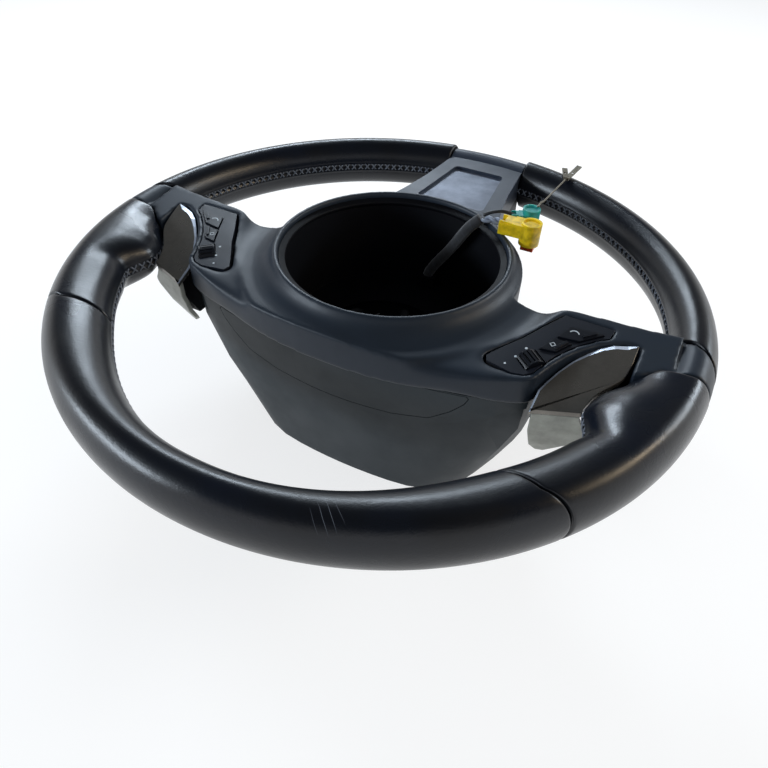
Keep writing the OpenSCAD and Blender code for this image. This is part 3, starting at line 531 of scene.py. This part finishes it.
# Planes of the seams on the right half: direction, distance, and which crossing it is
UPPER_SEAM = (math.radians(90), 0.117, 1)
BAND_LOW = (math.radians(125), math.cos(math.radians(125)) * RING_R - 0.010 * math.sin(math.radians(125)), -1)
TRIM_SIDE = (0.0, 0.029, 1)
# Half the width of a seam's groove, and the edge of the spoke band towards 12 o'clock
HALF_GAP = 0.00045
BAND_TOP = 0.015
# How much plumper than an oval the inner side gets where it is fullest
PLUMP = 0.25


def lobe_edge(rho, c):
    """Where a grip starts: its seam runs out over the lobe's inner side in a tongue."""
    inner = RING_R - (HALF_W + LOBE_ROOT) * abs(c) ** (1 - PLUMP * LOBE_ROOT / LOBE_OUT)
    if c < 0:
        return math.asin((BAND_TOP + HALF_GAP + TONGUE * ease((-c - 0.4) / 0.5)) / inner)
    return math.asin((BAND_TOP + HALF_GAP) / rho)


def seam_angle(seam, rho, gap):
    direction, distance, grow = seam
    return direction - math.acos((distance + grow * gap) / rho)


# Points round a section of the leather, and how much closer they stand on the inner side
AROUND = 88
CROWDING = 0.55
# Length of a step along the leather, and rings of its hidden inner wall
SKIN_STEP = 0.0016
INNER_RINGS = 12
# Half width of the sewn channel; height, place and half width of the lips beside it
CHANNEL_HALF = 0.0011
LIP, LIP_AT, LIP_HALF = 0.0003, 0.0026, 0.001
# Places of the rings over a turned edge, the last at its radius, and how far the edge is drawn in
ROLL_RINGS = (0, 0.12, 0.3, 0.55, 0.85, 1.2)
ROLL_DEPTH = 0.92


def leather_skin(name, start, end, with_lobe, side, node, props):
    """Leather wrapped round the foam between two seams: sewn channel inside, turned edges at both ends."""
    phis = [t + CROWDING * math.sin(t) for t in (2 * math.pi * j / AROUND for j in range(AROUND))]

    def ring(s, shrink, inner):
        wall = LEATHER_T if inner else 0
        w, h = HALF_W - wall, HALF_H - wall
        out = []
        for phi in phis:
            c, z = math.cos(phi), h * math.sin(phi)
            rho = RING_R + w * c
            first = lobe_edge(rho, c) if with_lobe else start(rho)
            th = first * (1 - s) + end(rho) * s
            grow = 0 if inner else fullness(th, with_lobe)
            if c < 0 and grow:
                rho = RING_R - (w + grow) * abs(c) ** (1 - PLUMP * grow / LOBE_OUT)
            if not inner:
                off = (phi - math.pi) * HALF_H
                dip = props.channel * math.exp(-(off / CHANNEL_HALF) ** 2)
                dip -= LIP * math.exp(-((abs(off) - LIP_AT) / LIP_HALF) ** 2)
                rho += dip
                # The turned edge draws the whole section in towards its own middle line
                rho -= shrink * c
                z -= shrink * math.sin(phi)
            out.append((side * rho * math.cos(th), rho * math.sin(th), RIM_Z + z))
        return out

    span = abs(end(RING_R) - start(RING_R)) * RING_R
    near = [e * props.roll / ROLL_RINGS[-1] for e in ROLL_RINGS]
    count = round(span / SKIN_STEP)
    steps = near + [near[-1] + (span - 2 * near[-1]) * i / count for i in range(1, count)]
    steps += [span - e for e in reversed(near)]
    rings = []
    for d in steps:
        e = min(d, span - d)
        turn = props.roll * (1 - math.sqrt(max(0.0, 1 - (1 - e / props.roll) ** 2))) if e < props.roll else 0
        rings.append(ring(d / span, turn * ROLL_DEPTH, False))
    rings += [ring(1 - i / INNER_RINGS, 0, True) for i in range(INNER_RINGS + 1)]
    faces = []
    for i in range(len(rings)):
        a, b = i * AROUND, (i + 1) % len(rings) * AROUND
        for j in range(AROUND):
            k = (j + 1) % AROUND
            faces.append((a + j, a + k, b + k, b + j))
    mesh = closed_mesh(name, [p for r in rings for p in r], faces)
    return new_piece(name, mesh, "leather_black", "wheel", node)


def seam_line(start, end, with_lobe, side, props):
    """The bottom of the sewn channel between two seams, running anticlockwise."""
    inside = RING_R - HALF_W
    first, last = lobe_edge(inside, -1) if with_lobe else start(inside), end(inside)
    count = round((last - first) * inside / 0.002)
    out = []
    for i in range(count + 1):
        th = first + (last - first) * i / count
        rho = inside - fullness(th, with_lobe) + props.channel * 0.55
        out.append(Vector((side * rho * math.cos(th), rho * math.sin(th), RIM_Z)))
    return out if side > 0 else out[::-1]


def skin_list():
    """Name, two seams, lobe, side and node of each leather piece."""
    def at(seam, gap):
        return lambda rho: seam_angle(seam, rho, gap)

    def over(rho):
        return math.pi - seam_angle(UPPER_SEAM, rho, HALF_GAP)

    def trim(rho):
        return -abs(seam_angle(TRIM_SIDE, rho, HALF_GAP))

    rows = [("rim_leather_top", at(UPPER_SEAM, HALF_GAP), over, False, 1, "leather_top")]
    for word, side in SIDES:
        rows.append((f"grip_leather_{word}", lambda rho: lobe_edge(rho, 0), at(UPPER_SEAM, -HALF_GAP), True,
                     side, f"leather_grip_{word}"))
        rows.append((f"rim_leather_lower_{word}", trim, at(BAND_LOW, HALF_GAP), False, side,
                     f"leather_lower_{word}"))
    return rows


class WHEEL_OT_leather(bpy.types.Operator):
    """Wraps the rim in five pieces of leather, each with its sewn channel and turned edges"""
    bl_idname = "wheel.leather"
    bl_label = "Leather Rim"

    def execute(self, context):
        for row in skin_list():
            leather_skin(*row, context.scene.wheel_leather)
        return {"FINISHED"}


# How far a stitch arches out, in radii of its thread
STITCH_ARCH = 2.6


def stitch_tree():
    """Cross stitches along a line: two leaning threads at every step."""
    tree = bpy.data.node_groups.new("Cross Stitch", "GeometryNodeTree")
    tree.interface.new_socket("Line", in_out="INPUT", socket_type="NodeSocketGeometry")
    for label in ("Pitch", "Reach", "Thread Radius", "Lean"):
        tree.interface.new_socket(label, in_out="INPUT", socket_type="NodeSocketFloat")
    tree.interface.new_socket("Thread", in_out="INPUT", socket_type="NodeSocketMaterial")
    tree.interface.new_socket("Stitches", in_out="OUTPUT", socket_type="NodeSocketGeometry")
    given = add(tree, "NodeGroupInput").outputs
    line = add(tree, "GeometryNodeMeshToCurve", {"Mesh": given["Line"]})
    points = add(tree, "GeometryNodeCurveToPoints", {"Curve": line, "Length": given["Pitch"]}, mode="LENGTH")
    axes = add(tree, "FunctionNodeAxesToRotation", {
        "Primary Axis": points.outputs["Tangent"], "Secondary Axis": (0, 0, 1)},
        primary_axis="X", secondary_axis="Z")
    down = add(tree, "ShaderNodeMath", {0: given["Reach"], 1: -1.0}, operation="MULTIPLY")
    out = add(tree, "ShaderNodeMath", {0: given["Thread Radius"], 1: STITCH_ARCH}, operation="MULTIPLY")
    arch = add(tree, "GeometryNodeCurveQuadraticBezier", {
        "Resolution": 5, "Start": add(tree, "ShaderNodeCombineXYZ", {"Z": down}),
        "Middle": add(tree, "ShaderNodeCombineXYZ", {"Y": out}),
        "End": add(tree, "ShaderNodeCombineXYZ", {"Z": given["Reach"]})})
    section = add(tree, "GeometryNodeCurvePrimitiveCircle", {
        "Resolution": 6, "Radius": given["Thread Radius"]})
    thread = add(tree, "GeometryNodeCurveToMesh", {
        "Curve": arch, "Profile Curve": section, "Fill Caps": True})
    joined = add(tree, "GeometryNodeJoinGeometry")
    for sign in (1.0, -1.0):
        turn = add(tree, "ShaderNodeMath", {0: given["Lean"], 1: sign}, operation="MULTIPLY")
        euler = add(tree, "FunctionNodeEulerToRotation", {0: add(tree, "ShaderNodeCombineXYZ", {"Y": turn})})
        leaned = add(tree, "FunctionNodeRotateRotation", {0: axes, 1: euler}, rotation_space="LOCAL")
        placed = add(tree, "GeometryNodeInstanceOnPoints", {
            "Points": points, "Instance": thread, "Rotation": leaned})
        connect(joined, {"Geometry": placed})
    real = add(tree, "GeometryNodeRealizeInstances", {"Geometry": joined})
    finish = add(tree, "GeometryNodeSetMaterial", {"Geometry": real, "Material": given["Thread"]})
    add(tree, "NodeGroupOutput", {"Stitches": finish})
    return tree


def grown(name, mesh, tree, values):
    """A plain mesh from what a node tree makes of a mesh."""
    seed = linked(name, mesh)
    grow = seed.modifiers.new("grown", "NODES")
    grow.node_group = tree
    sockets = {s.name: s.identifier for s in tree.interface.items_tree if s.in_out == "INPUT"}
    for label, value in values.items():
        grow[sockets[label]] = value
    return plain_mesh(seed)


class WHEEL_OT_stitches(bpy.types.Operator):
    """Sews the leather along the rim's inner side with pale grey cross stitches"""
    bl_idname = "wheel.stitches"
    bl_label = "Cross Stitching"

    def execute(self, context):
        props = context.scene.wheel_leather
        points, edges = [], []
        for row in skin_list():
            line = seam_line(*row[1:5], props)
            base = len(points)
            points += line
            edges += [(base + i, base + i + 1) for i in range(len(line) - 1)]
        path = bpy.data.meshes.new("seam lines")
        path.from_pydata(points, edges, [])
        made = grown("seam_stitches", path, stitch_tree(), {
            "Pitch": props.pitch, "Reach": props.stitch, "Thread Radius": props.thread, "Lean": props.lean,
            "Thread": finish_of("thread")})
        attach(linked("seam_stitches", made), "wheel")
        return {"FINISHED"}


# Inner corner of a shift switch's opening, eased so that the plate clears it at full tilt
CORNER = (0.1443, 0.0035, 0.1232)
CORNER_RELIEF = 0.0008
CORNER_REACH = 0.004
# Spacing of the front cover's even mesh, and smoothing steps over all of it
COVER_GRID = 0.0011
EVEN_STEPS = 2
# Radius of the ridge round the collar's valley, its reach and its smoothing steps
RIDGE_R = 0.101
RIDGE_REACH = 0.0075
RIDGE_STEPS = 48


def flowing_cover(name, node, slot, body):
    """A copy of the front cover, remeshed evenly, whose ridge round the valley melts into the deck."""
    source = linked(name, frame["nodes"][node].data.copy())
    with edited(source.data, 1e-5):
        pass
    even = source.modifiers.new("even", "REMESH")
    even.mode = "VOXEL"
    even.voxel_size = COVER_GRID
    mesh = plain_mesh(source)
    count = len(mesh.vertices)
    place = np.empty(count * 3)
    mesh.vertices.foreach_get("co", place)
    place = place.reshape(-1, 3)
    ends = np.empty(len(mesh.edges) * 2, dtype=np.int64)
    mesh.edges.foreach_get("vertices", ends)
    first, second = ends[0::2], ends[1::2]
    links = np.bincount(first, minlength=count) + np.bincount(second, minlength=count)
    reach = np.hypot(place[:, 0], place[:, 1] + HUB_OFF)
    share = np.exp(-((reach - RIDGE_R) / RIDGE_REACH) ** 2)[:, None]
    for step in range(RIDGE_STEPS):
        total = np.zeros_like(place)
        np.add.at(total, first, place[second])
        np.add.at(total, second, place[first])
        amount = 0.5 if step < EVEN_STEPS else 0.5 * share
        place += (total / links[:, None] - place) * amount
    for side in (-1, 1):
        away = np.linalg.norm(place - (side * CORNER[0], CORNER[1], CORNER[2]), axis=1)
        place[:, 1] -= CORNER_RELIEF * np.exp(-(away / CORNER_REACH) ** 2)
    mesh.vertices.foreach_set("co", place.reshape(-1))
    mesh.update()
    return new_piece(name, mesh, slot, body, node)


# Pocket of the bottom spoke: half width, its two ends along y, and a height above its floor
POCKET_HALF = 0.0245
POCKET_ENDS = (-0.156, -0.095)
POCKET_LID = RIM_Z + 0.0111


class WHEEL_OT_covers(bpy.types.Operator):
    """Finishes the hub's covers, the cup's liner and the bottom spoke with moulded edges"""
    bl_idname = "wheel.covers"
    bl_label = "Hub Covers"

    def execute(self, context):
        edge = context.scene.wheel_covers.edge
        flowing_cover("hub_front_cover", "front_cover", "cover_slate", "wheel")
        softened("cup_liner", "airbag_cup_liner", "cup_black", edge * 0.6)
        # The tub is a loft of many small faces, so little of it is dissolved
        softened("rear_cover", "hub_rear_cover", "cover_rear", edge * 0.8, 35, 0.2)
        softened("rear_panel", "rear_inset_panel", "cover_rear", edge * 0.5, 40, 0.2)
        trim = softened("bottom_spoke_face", "bottom_spoke_trim", "spoke_violet", edge)
        trim.data.materials.append(finish_of("spoke_frame"))
        for face in trim.data.polygons:
            x, y, z = face.center
            inside = abs(x) < POCKET_HALF and POCKET_ENDS[0] < y < POCKET_ENDS[1] and z < POCKET_LID
            face.material_index = 0 if inside and face.normal.z > 0.7 else 1
        softened("bottom_spoke_back", "bottom_spoke_shell", "spoke_back", edge * 0.8)
        return {"FINISHED"}


# Heights of the marks on keys and panels above the deck, and their thickness, in millimetres
KEY_TOP = 0.88
PANEL_TOP = -0.22
MARK_T = 0.08


def flat_mark(name, outlines, side, body, height):
    """A printed mark on the deck's slope: thin plates from outlines in millimetres."""
    points, faces = [], []
    for outline in outlines:
        n, base = len(outline), len(points)
        for z in (height, height + MARK_T):
            points += [deck_point(side * x, y, z) for x, y in outline]
        faces.append(tuple(base + i for i in range(n)))
        faces.append(tuple(base + n + i for i in reversed(range(n))))
        faces += [(base + i, base + (i + 1) % n, base + n + (i + 1) % n, base + n + i) for i in range(n)]
    piece = linked(name, closed_mesh(name, points, faces, smooth=False))
    piece.data.materials.append(finish_of("mark"))
    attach(piece, body)


def disc(x, y, r, n=20):
    return [(x + r * math.cos(2 * math.pi * i / n), y + r * math.sin(2 * math.pi * i / n)) for i in range(n)]


def stroke(points, width):
    """Outline of a line of even width through points."""
    left, right = [], []
    for i, (x, y) in enumerate(points):
        ax, ay = points[max(0, i - 1)]
        bx, by = points[min(len(points) - 1, i + 1)]
        d = math.hypot(bx - ax, by - ay)
        nx, ny = -(by - ay) / d * width / 2, (bx - ax) / d * width / 2
        left.append((x + nx, y + ny))
        right.append((x - nx, y - ny))
    return left + right[::-1]


# Middle lines of the arc and the diamond, and places and radii of the dots, in millimetres
ARC = [(117.2 + 2.5 * math.cos(a), 9.6 + 2.5 * math.sin(a))
       for a in (math.radians(200 + 14 * i) for i in range(11))]
DIAMOND = [(109.6, 22.9), (111.1, 21.4), (109.6, 19.9), (108.1, 21.4), (109.6, 22.9), (110.2, 22.3)]
DOTS = [(95.3, 36.7, 0.75), (98.2, 28.9, 0.75), (92, 43.4, 0.6)]


class WHEEL_OT_controls(bpy.types.Operator):
    """Finishes switch panels, keys and rollers, and prints their generic marks"""
    bl_idname = "wheel.controls"
    bl_label = "Spoke Controls"

    def execute(self, context):
        edge = context.scene.wheel_controls.edge
        for word, side in SIDES:
            softened(f"switch_panel_{word}", f"spoke_switch_panel_{word}", "switch_dark", edge)
            for key in ("upper", "lower"):
                name = f"{key}_key_{word}"
                softened(name, f"{key}_rocker_key_{word}", "key_black", edge, body=f"{name}_body")
            softened(f"roller_{word}", f"thumb_roller_{word}", "key_black", edge * 0.6,
                     body=f"roller_{word}_body")
            for key, line in (("upper", stroke(ARC, 0.6)), ("lower", stroke(DIAMOND, 0.45))):
                flat_mark(f"{key}_key_mark_{word}", [line], side, f"{key}_key_{word}_body", KEY_TOP)
            flat_mark(f"panel_dots_{word}", [disc(*dot) for dot in DOTS], side, "wheel", PANEL_TOP)
        return {"FINISHED"}


# The bright chamfer: the side it faces; its width and growth, from where over what stretch; its slope
CUT_SIDE = (-0.72, -0.69)
CUT_W, CUT_GROWTH, CUT_FROM, CUT_SPAN = 0.0012, 0.0022, 0.118, 0.028
CUT_SLOPE = 0.55


def cut_bright_edge(mesh, side):
    """Cuts the bright chamfer, pale with a painted glint, along a shift plate's edge beside the deck; it
    widens towards the rim.
    """
    shape = bmesh.new()
    shape.from_mesh(mesh)
    top = max((f for f in shape.faces if f.normal.z > 0.5), key=lambda f: f.calc_area())
    middle, up = top.calc_center_median(), top.normal.copy()
    ring = list(top.verts)
    count = len(ring)
    inner = []
    for i, corner in enumerate(ring):
        along = (ring[(i + 1) % count].co - ring[i - 1].co).normalized()
        out = along.cross(up)
        if out.dot(corner.co - middle) < 0:
            out = -out
        if Vector((CUT_SIDE[0] * side, CUT_SIDE[1], 0)).dot(out) > 0.2:
            width = CUT_W + CUT_GROWTH * ease((abs(corner.co.x) - CUT_FROM) / CUT_SPAN)
            inner.append(shape.verts.new(corner.co - out * width))
        else:
            inner.append(None)
    kept = [inner[i] or ring[i] for i in range(count)]
    shape.faces.remove(top)
    shape.faces.new(kept).smooth = True
    for i in range(count):
        j = (i + 1) % count
        loop = [ring[i], ring[j]] + [v for v in (inner[j], inner[i]) if v]
        if len(loop) > 2:
            face = shape.faces.new(loop)
            face.material_index = 1
            face.smooth = False
    for corner, set_in in zip(ring, inner):
        if set_in:
            corner.co -= up * (corner.co - set_in.co).length * CUT_SLOPE
    bmesh.ops.recalc_face_normals(shape, faces=shape.faces)
    shape.to_mesh(mesh)
    shape.free()


class WHEEL_OT_shift(bpy.types.Operator):
    """Finishes the two shift switches: thumb plate, skirt and black body"""
    bl_idname = "wheel.shift"
    bl_label = "Shift Switches"

    def execute(self, context):
        edge = context.scene.wheel_controls.edge
        for word, side in SIDES:
            body = f"shift_switch_{word}"
            plate = softened(f"shift_plate_{word}", f"shift_thumb_plate_{word}", "plate_bronze", edge,
                             body=body)
            # The chamfer's pale finish is a painted glint of the cut edge
            plate.data.materials.append(finish_of("cut_edge"))
            cut_bright_edge(plate.data, side)
            softened(f"shift_skirt_{word}", f"shift_thumb_skirt_{word}", "skirt_grey", edge * 1.4, body=body)
            softened(f"shift_core_{word}", f"shift_switch_body_{word}", "core_black", edge * 2, body=body)
        return {"FINISHED"}


# The routes of the part's source, in millimetres, heights from the rim's middle plane
BUNDLE_ROUTE = [(0, -71.5, -39.7), (0, -71.5, -31), (-6, -72.2, -20), (-12, -71.2, -11), (-17.5, -68.6, -2),
                (-22.5, -65.8, 7), (-27.5, -63.6, 15.5), (-31, -64, 20), (-34.5, -65, 23.5)]
TEAL_ROUTE = [(-35.4, -66.6, 25.6), (-39.5, -68.3, 27.8), (-43.7, -70.4, 28.7), (-47.4, -72.5, 28.4),
              (-50.1, -73.9, 27.4), (-51.9, -74.8, 26.9)]
YELLOW_ROUTE = [(-36.2, -64.2, 23), (-40.3, -64.4, 25.2), (-44.3, -63.9, 25.9), (-47.9, -63.2, 25.7)]
TAIL_ROUTE = [(-65.1, -80, 33.1), (-64.7, -88, 32.5), (-64.1, -98, 28.8), (-63.5, -110, 26),
              (-63, -122, 23.6), (-62.8, -134, 21.6), (-62.9, -146, 20), (-63.3, -158, 19.2)]
# Radii of a lead, the taped bundle and the bare wire; radius and pitch of a twisted pair
LEAD_R, BUNDLE_R, TAIL_R = 0.0011, 0.0036, 0.0006
PAIR_R, PAIR_PITCH = 0.0012, 0.013


def route(points):
    return smooth_path([Vector((x * MM, y * MM, z * MM + RIM_Z)) for x, y, z in points])


def twisted(path, phase):
    """A strand of a pair wound round a path."""
    out, run = [], 0.0
    for i, (centre, (u, v)) in enumerate(zip(path, path_frames(path))):
        if i:
            run += (centre - path[i - 1]).length
        a = phase + 2 * math.pi * run / PAIR_PITCH
        out.append(centre + (u * math.cos(a) + v * math.sin(a)) * PAIR_R)
    return out


def joined_mesh(name, meshes):
    """Several meshes as one."""
    shape = bmesh.new()
    for mesh in meshes:
        shape.from_mesh(mesh)
        bpy.data.meshes.remove(mesh)
    made = bpy.data.meshes.new(name)
    shape.to_mesh(made)
    shape.free()
    return made


class WHEEL_OT_harness(bpy.types.Operator):
    """Lays the taped harness over the cup's lip, with its leads, plugs and bare tail wire"""
    bl_idname = "wheel.harness"
    bl_label = "Harness"

    def execute(self, context):
        sides = context.scene.wheel_harness.sides
        lead = new_tube("teal_plug_lead", route(TEAL_ROUTE), LEAD_R, sides, "lead_black", "teal_lead")
        pair = route(YELLOW_ROUTE)
        strands = [tube_mesh("strand", twisted(pair, phase), LEAD_R, sides)
                   for phase in (0.6, 0.6 + math.pi)]
        leads = new_piece("yellow_plug_leads", joined_mesh("yellow_plug_leads", strands), "lead_grey",
                          "wheel", "yellow_leads")
        plugs = [softened("teal_plug", "teal_airbag_plug", "plug_teal", 0.0004),
                 softened("yellow_plug", "yellow_airbag_plug", "plug_yellow", 0.0005),
                 softened("plug_latch", "yellow_plug_slide", "latch_orange", 0.0004)]
        path = route(BUNDLE_ROUTE)
        bundle = new_tube("taped_harness", path, BUNDLE_R, 24, "tape_black", "harness_bundle")
        tail = route(TAIL_ROUTE)
        ends = softened("tail_terminals", "crimped_terminals", "wire_bare", 0.0002)
        wire = new_tube("bare_tail_wire", tail, TAIL_R, 10, "wire_bare", "tail_wire")
        return {"FINISHED"}


class WHEEL_OT_finishes(bpy.types.Operator):
    """Gives every CAD part that stays in view its finish"""
    bl_idname = "wheel.finishes"
    bl_label = "CAD Finishes"

    def execute(self, context):
        rows = {"casting": ("armature", "rim_core", "shift_brackets"), "foam_dark": ("rim_foam",),
                "steel": ("roller_axles", "shift_pins", "retaining_springs", "cover_screws"),
                # The harness clip shares the cup's near-black, which holds painted shade
                "cup_black": ("harness_clip",)}
        for slot, nodes in rows.items():
            for node in nodes:
                materials = frame["nodes"][node].data.materials
                materials.clear()
                materials.append(finish_of(slot))
        return {"FINISHED"}


def seen_rays(tree, mirrored=1.0):
    """1 for rays that show a surface straight or through clear material, and a given share by gloss."""
    rays = add(tree, "ShaderNodeLightPath").outputs
    straight = add(tree, "ShaderNodeMath", {
        0: rays["Is Camera Ray"], 1: rays["Is Transmission Ray"]}, operation="MAXIMUM")
    gloss = add(tree, "ShaderNodeMath", {0: rays["Is Glossy Ray"], 1: mirrored}, operation="MULTIPLY")
    return add(tree, "ShaderNodeMath", {0: straight, 1: gloss}, operation="MAXIMUM")


def floor_paint():
    """Matt white paper sweep: plain, pale, and it keeps the object's soft shadow."""
    made = bpy.data.materials.new("white paper sweep")
    tree = cleared_tree(made)
    paper = add(tree, "ShaderNodeBsdfDiffuse", {"Color": (0.34, 0.34, 0.34, 1)})
    share = add(tree, "ShaderNodeMath", {0: seen_rays(tree), 1: 0.7}, operation="MULTIPLY")
    glow = add(tree, "ShaderNodeEmission", {"Color": (1, 1, 1, 1), "Strength": share})
    add(tree, "ShaderNodeOutputMaterial", {"Surface": add(tree, "ShaderNodeAddShader", {0: paper, 1: glow})})
    return made


def white_room():
    """A white room: even soft light, white to the eye, its ceiling dimmer where gloss mirrors it."""
    world = bpy.data.worlds.new("white room")
    tree = cleared_tree(world)
    place = add(tree, "ShaderNodeTexCoord").outputs["Generated"]
    height = add(tree, "ShaderNodeSeparateXYZ", {"Vector": place}).outputs["Z"]
    ceiling = add(tree, "ShaderNodeMapRange", {
        "Value": height, "From Min": 0.12, "From Max": 0.5, "To Min": 1.0, "To Max": 0.05})
    soft = add(tree, "ShaderNodeBackground", {"Color": (0.86, 0.93, 1, 1), "Strength": 0.45})
    white = add(tree, "ShaderNodeBackground", {"Color": (1, 1, 1, 1), "Strength": seen_rays(tree, ceiling)})
    both = add(tree, "ShaderNodeMixShader", {0: seen_rays(tree), 1: soft, 2: white})
    add(tree, "ShaderNodeOutputWorld", {"Surface": both})
    return world


def softbox(name, place, size, power, colour):
    """An area lamp that faces the middle of the wheel."""
    lamp = bpy.data.lights.new(name, "AREA")
    lamp.shape = "RECTANGLE"
    lamp.size, lamp.size_y = size
    lamp.energy = power
    lamp.color = colour
    holder = linked(name, lamp)
    holder.location = place
    holder.rotation_euler = (Vector((0, -0.02, 0.1)) - Vector(place)).to_track_quat("-Z", "Y").to_euler()


# The camera: focal length in millimetres, place, and right, up and back axes
CAMERA_LENS = 30.42
CAMERA_PLACE = (-0.148098, 0.293398, 0.332541)
CAMERA_AXES = ((-0.88443252, -0.46580306, 0.02840122), (0.33485385, -0.59105125, 0.73384693),
               (-0.32504157, 0.65854835, 0.6787209))
FLOOR_HALF = 6.0


class WHEEL_OT_stage(bpy.types.Operator):
    """Sets the camera, the pale floor and the soft lights"""
    bl_idname = "wheel.stage"
    bl_label = "Stage"

    def execute(self, context):
        scene = context.scene
        scene.view_settings.view_transform = "Standard"
        lens = bpy.data.cameras.new("camera")
        lens.lens = CAMERA_LENS
        lens.clip_start = 0.01
        lens.clip_end = 50
        camera = linked("camera", lens)
        turn = Matrix(CAMERA_AXES).transposed()
        camera.matrix_world = Matrix.Translation(CAMERA_PLACE) @ turn.to_4x4()
        scene.camera = camera

        mesh = bpy.data.meshes.new("floor")
        corners = ((-1, -1), (1, -1), (1, 1), (-1, 1))
        mesh.from_pydata([(x * FLOOR_HALF, y * FLOOR_HALF, 0) for x, y in corners], [], [(0, 1, 2, 3)])
        mesh.materials.append(floor_paint())
        linked("floor", mesh)

        scene.world = white_room()
        softbox("left strip", (1.045, 0.877, 0.415), (0.8, 0.16), 12, (0.78, 0.89, 1))
        softbox("window strip", (0.66, -0.98, 0.87), (0.8, 0.16), 11, (0.78, 0.89, 1))
        softbox("side strip", (-0.98, -0.88, 0.6), (0.6, 0.16), 6, (0.8, 0.9, 1))
        softbox("warm strip", (-1.19, -0.32, 0.76), (0.6, 0.14), 4, (1, 0.8, 0.55))
        return {"FINISHED"}


class WHEEL_PT_parts(bpy.types.Panel):
    """Lists the wheel's groups of pieces with their sizes and colours"""
    bl_label = "Steering Wheel"
    bl_idname = "WHEEL_PT_parts"
    bl_space_type = "VIEW_3D"
    bl_region_type = "UI"
    bl_category = "Steering Wheel"

    def draw(self, context):
        scene = context.scene
        groups = ((scene.wheel_leather, (WHEEL_OT_leather, WHEEL_OT_stitches)),
                  (scene.wheel_covers, (WHEEL_OT_covers, WHEEL_OT_finishes)),
                  (scene.wheel_controls, (WHEEL_OT_controls, WHEEL_OT_shift)),
                  (scene.wheel_harness, (WHEEL_OT_harness, WHEEL_OT_stage)))
        for props, operators in groups:
            box = self.layout.box()
            for key in props.__annotations__:
                box.prop(props, key)
            for operator in operators:
                box.operator(operator.bl_idname)


GROUPS = {"wheel_leather": WheelLeather, "wheel_covers": WheelCovers, "wheel_controls": WheelControls,
          "wheel_harness": WheelHarness}
add_classes, remove_classes = bpy.utils.register_classes_factory((
    *GROUPS.values(), WHEEL_OT_stage, WHEEL_OT_harness, WHEEL_OT_leather, WHEEL_OT_stitches, WHEEL_OT_covers,
    WHEEL_OT_controls, WHEEL_OT_shift, WHEEL_OT_finishes, WHEEL_PT_parts))


def register():
    add_classes()
    for name, group in GROUPS.items():
        setattr(bpy.types.Scene, name, PointerProperty(type=group))


def unregister():
    for name in GROUPS:
        delattr(bpy.types.Scene, name)
    remove_classes()


def main():
    register()
    bpy.ops.wheel.stage()
    bpy.ops.wheel.harness()
    bpy.ops.wheel.leather()
    bpy.ops.wheel.stitches()
    bpy.ops.wheel.covers()
    bpy.ops.wheel.controls()
    bpy.ops.wheel.shift()
    bpy.ops.wheel.finishes()


if __name__ == "__main__":
    main()
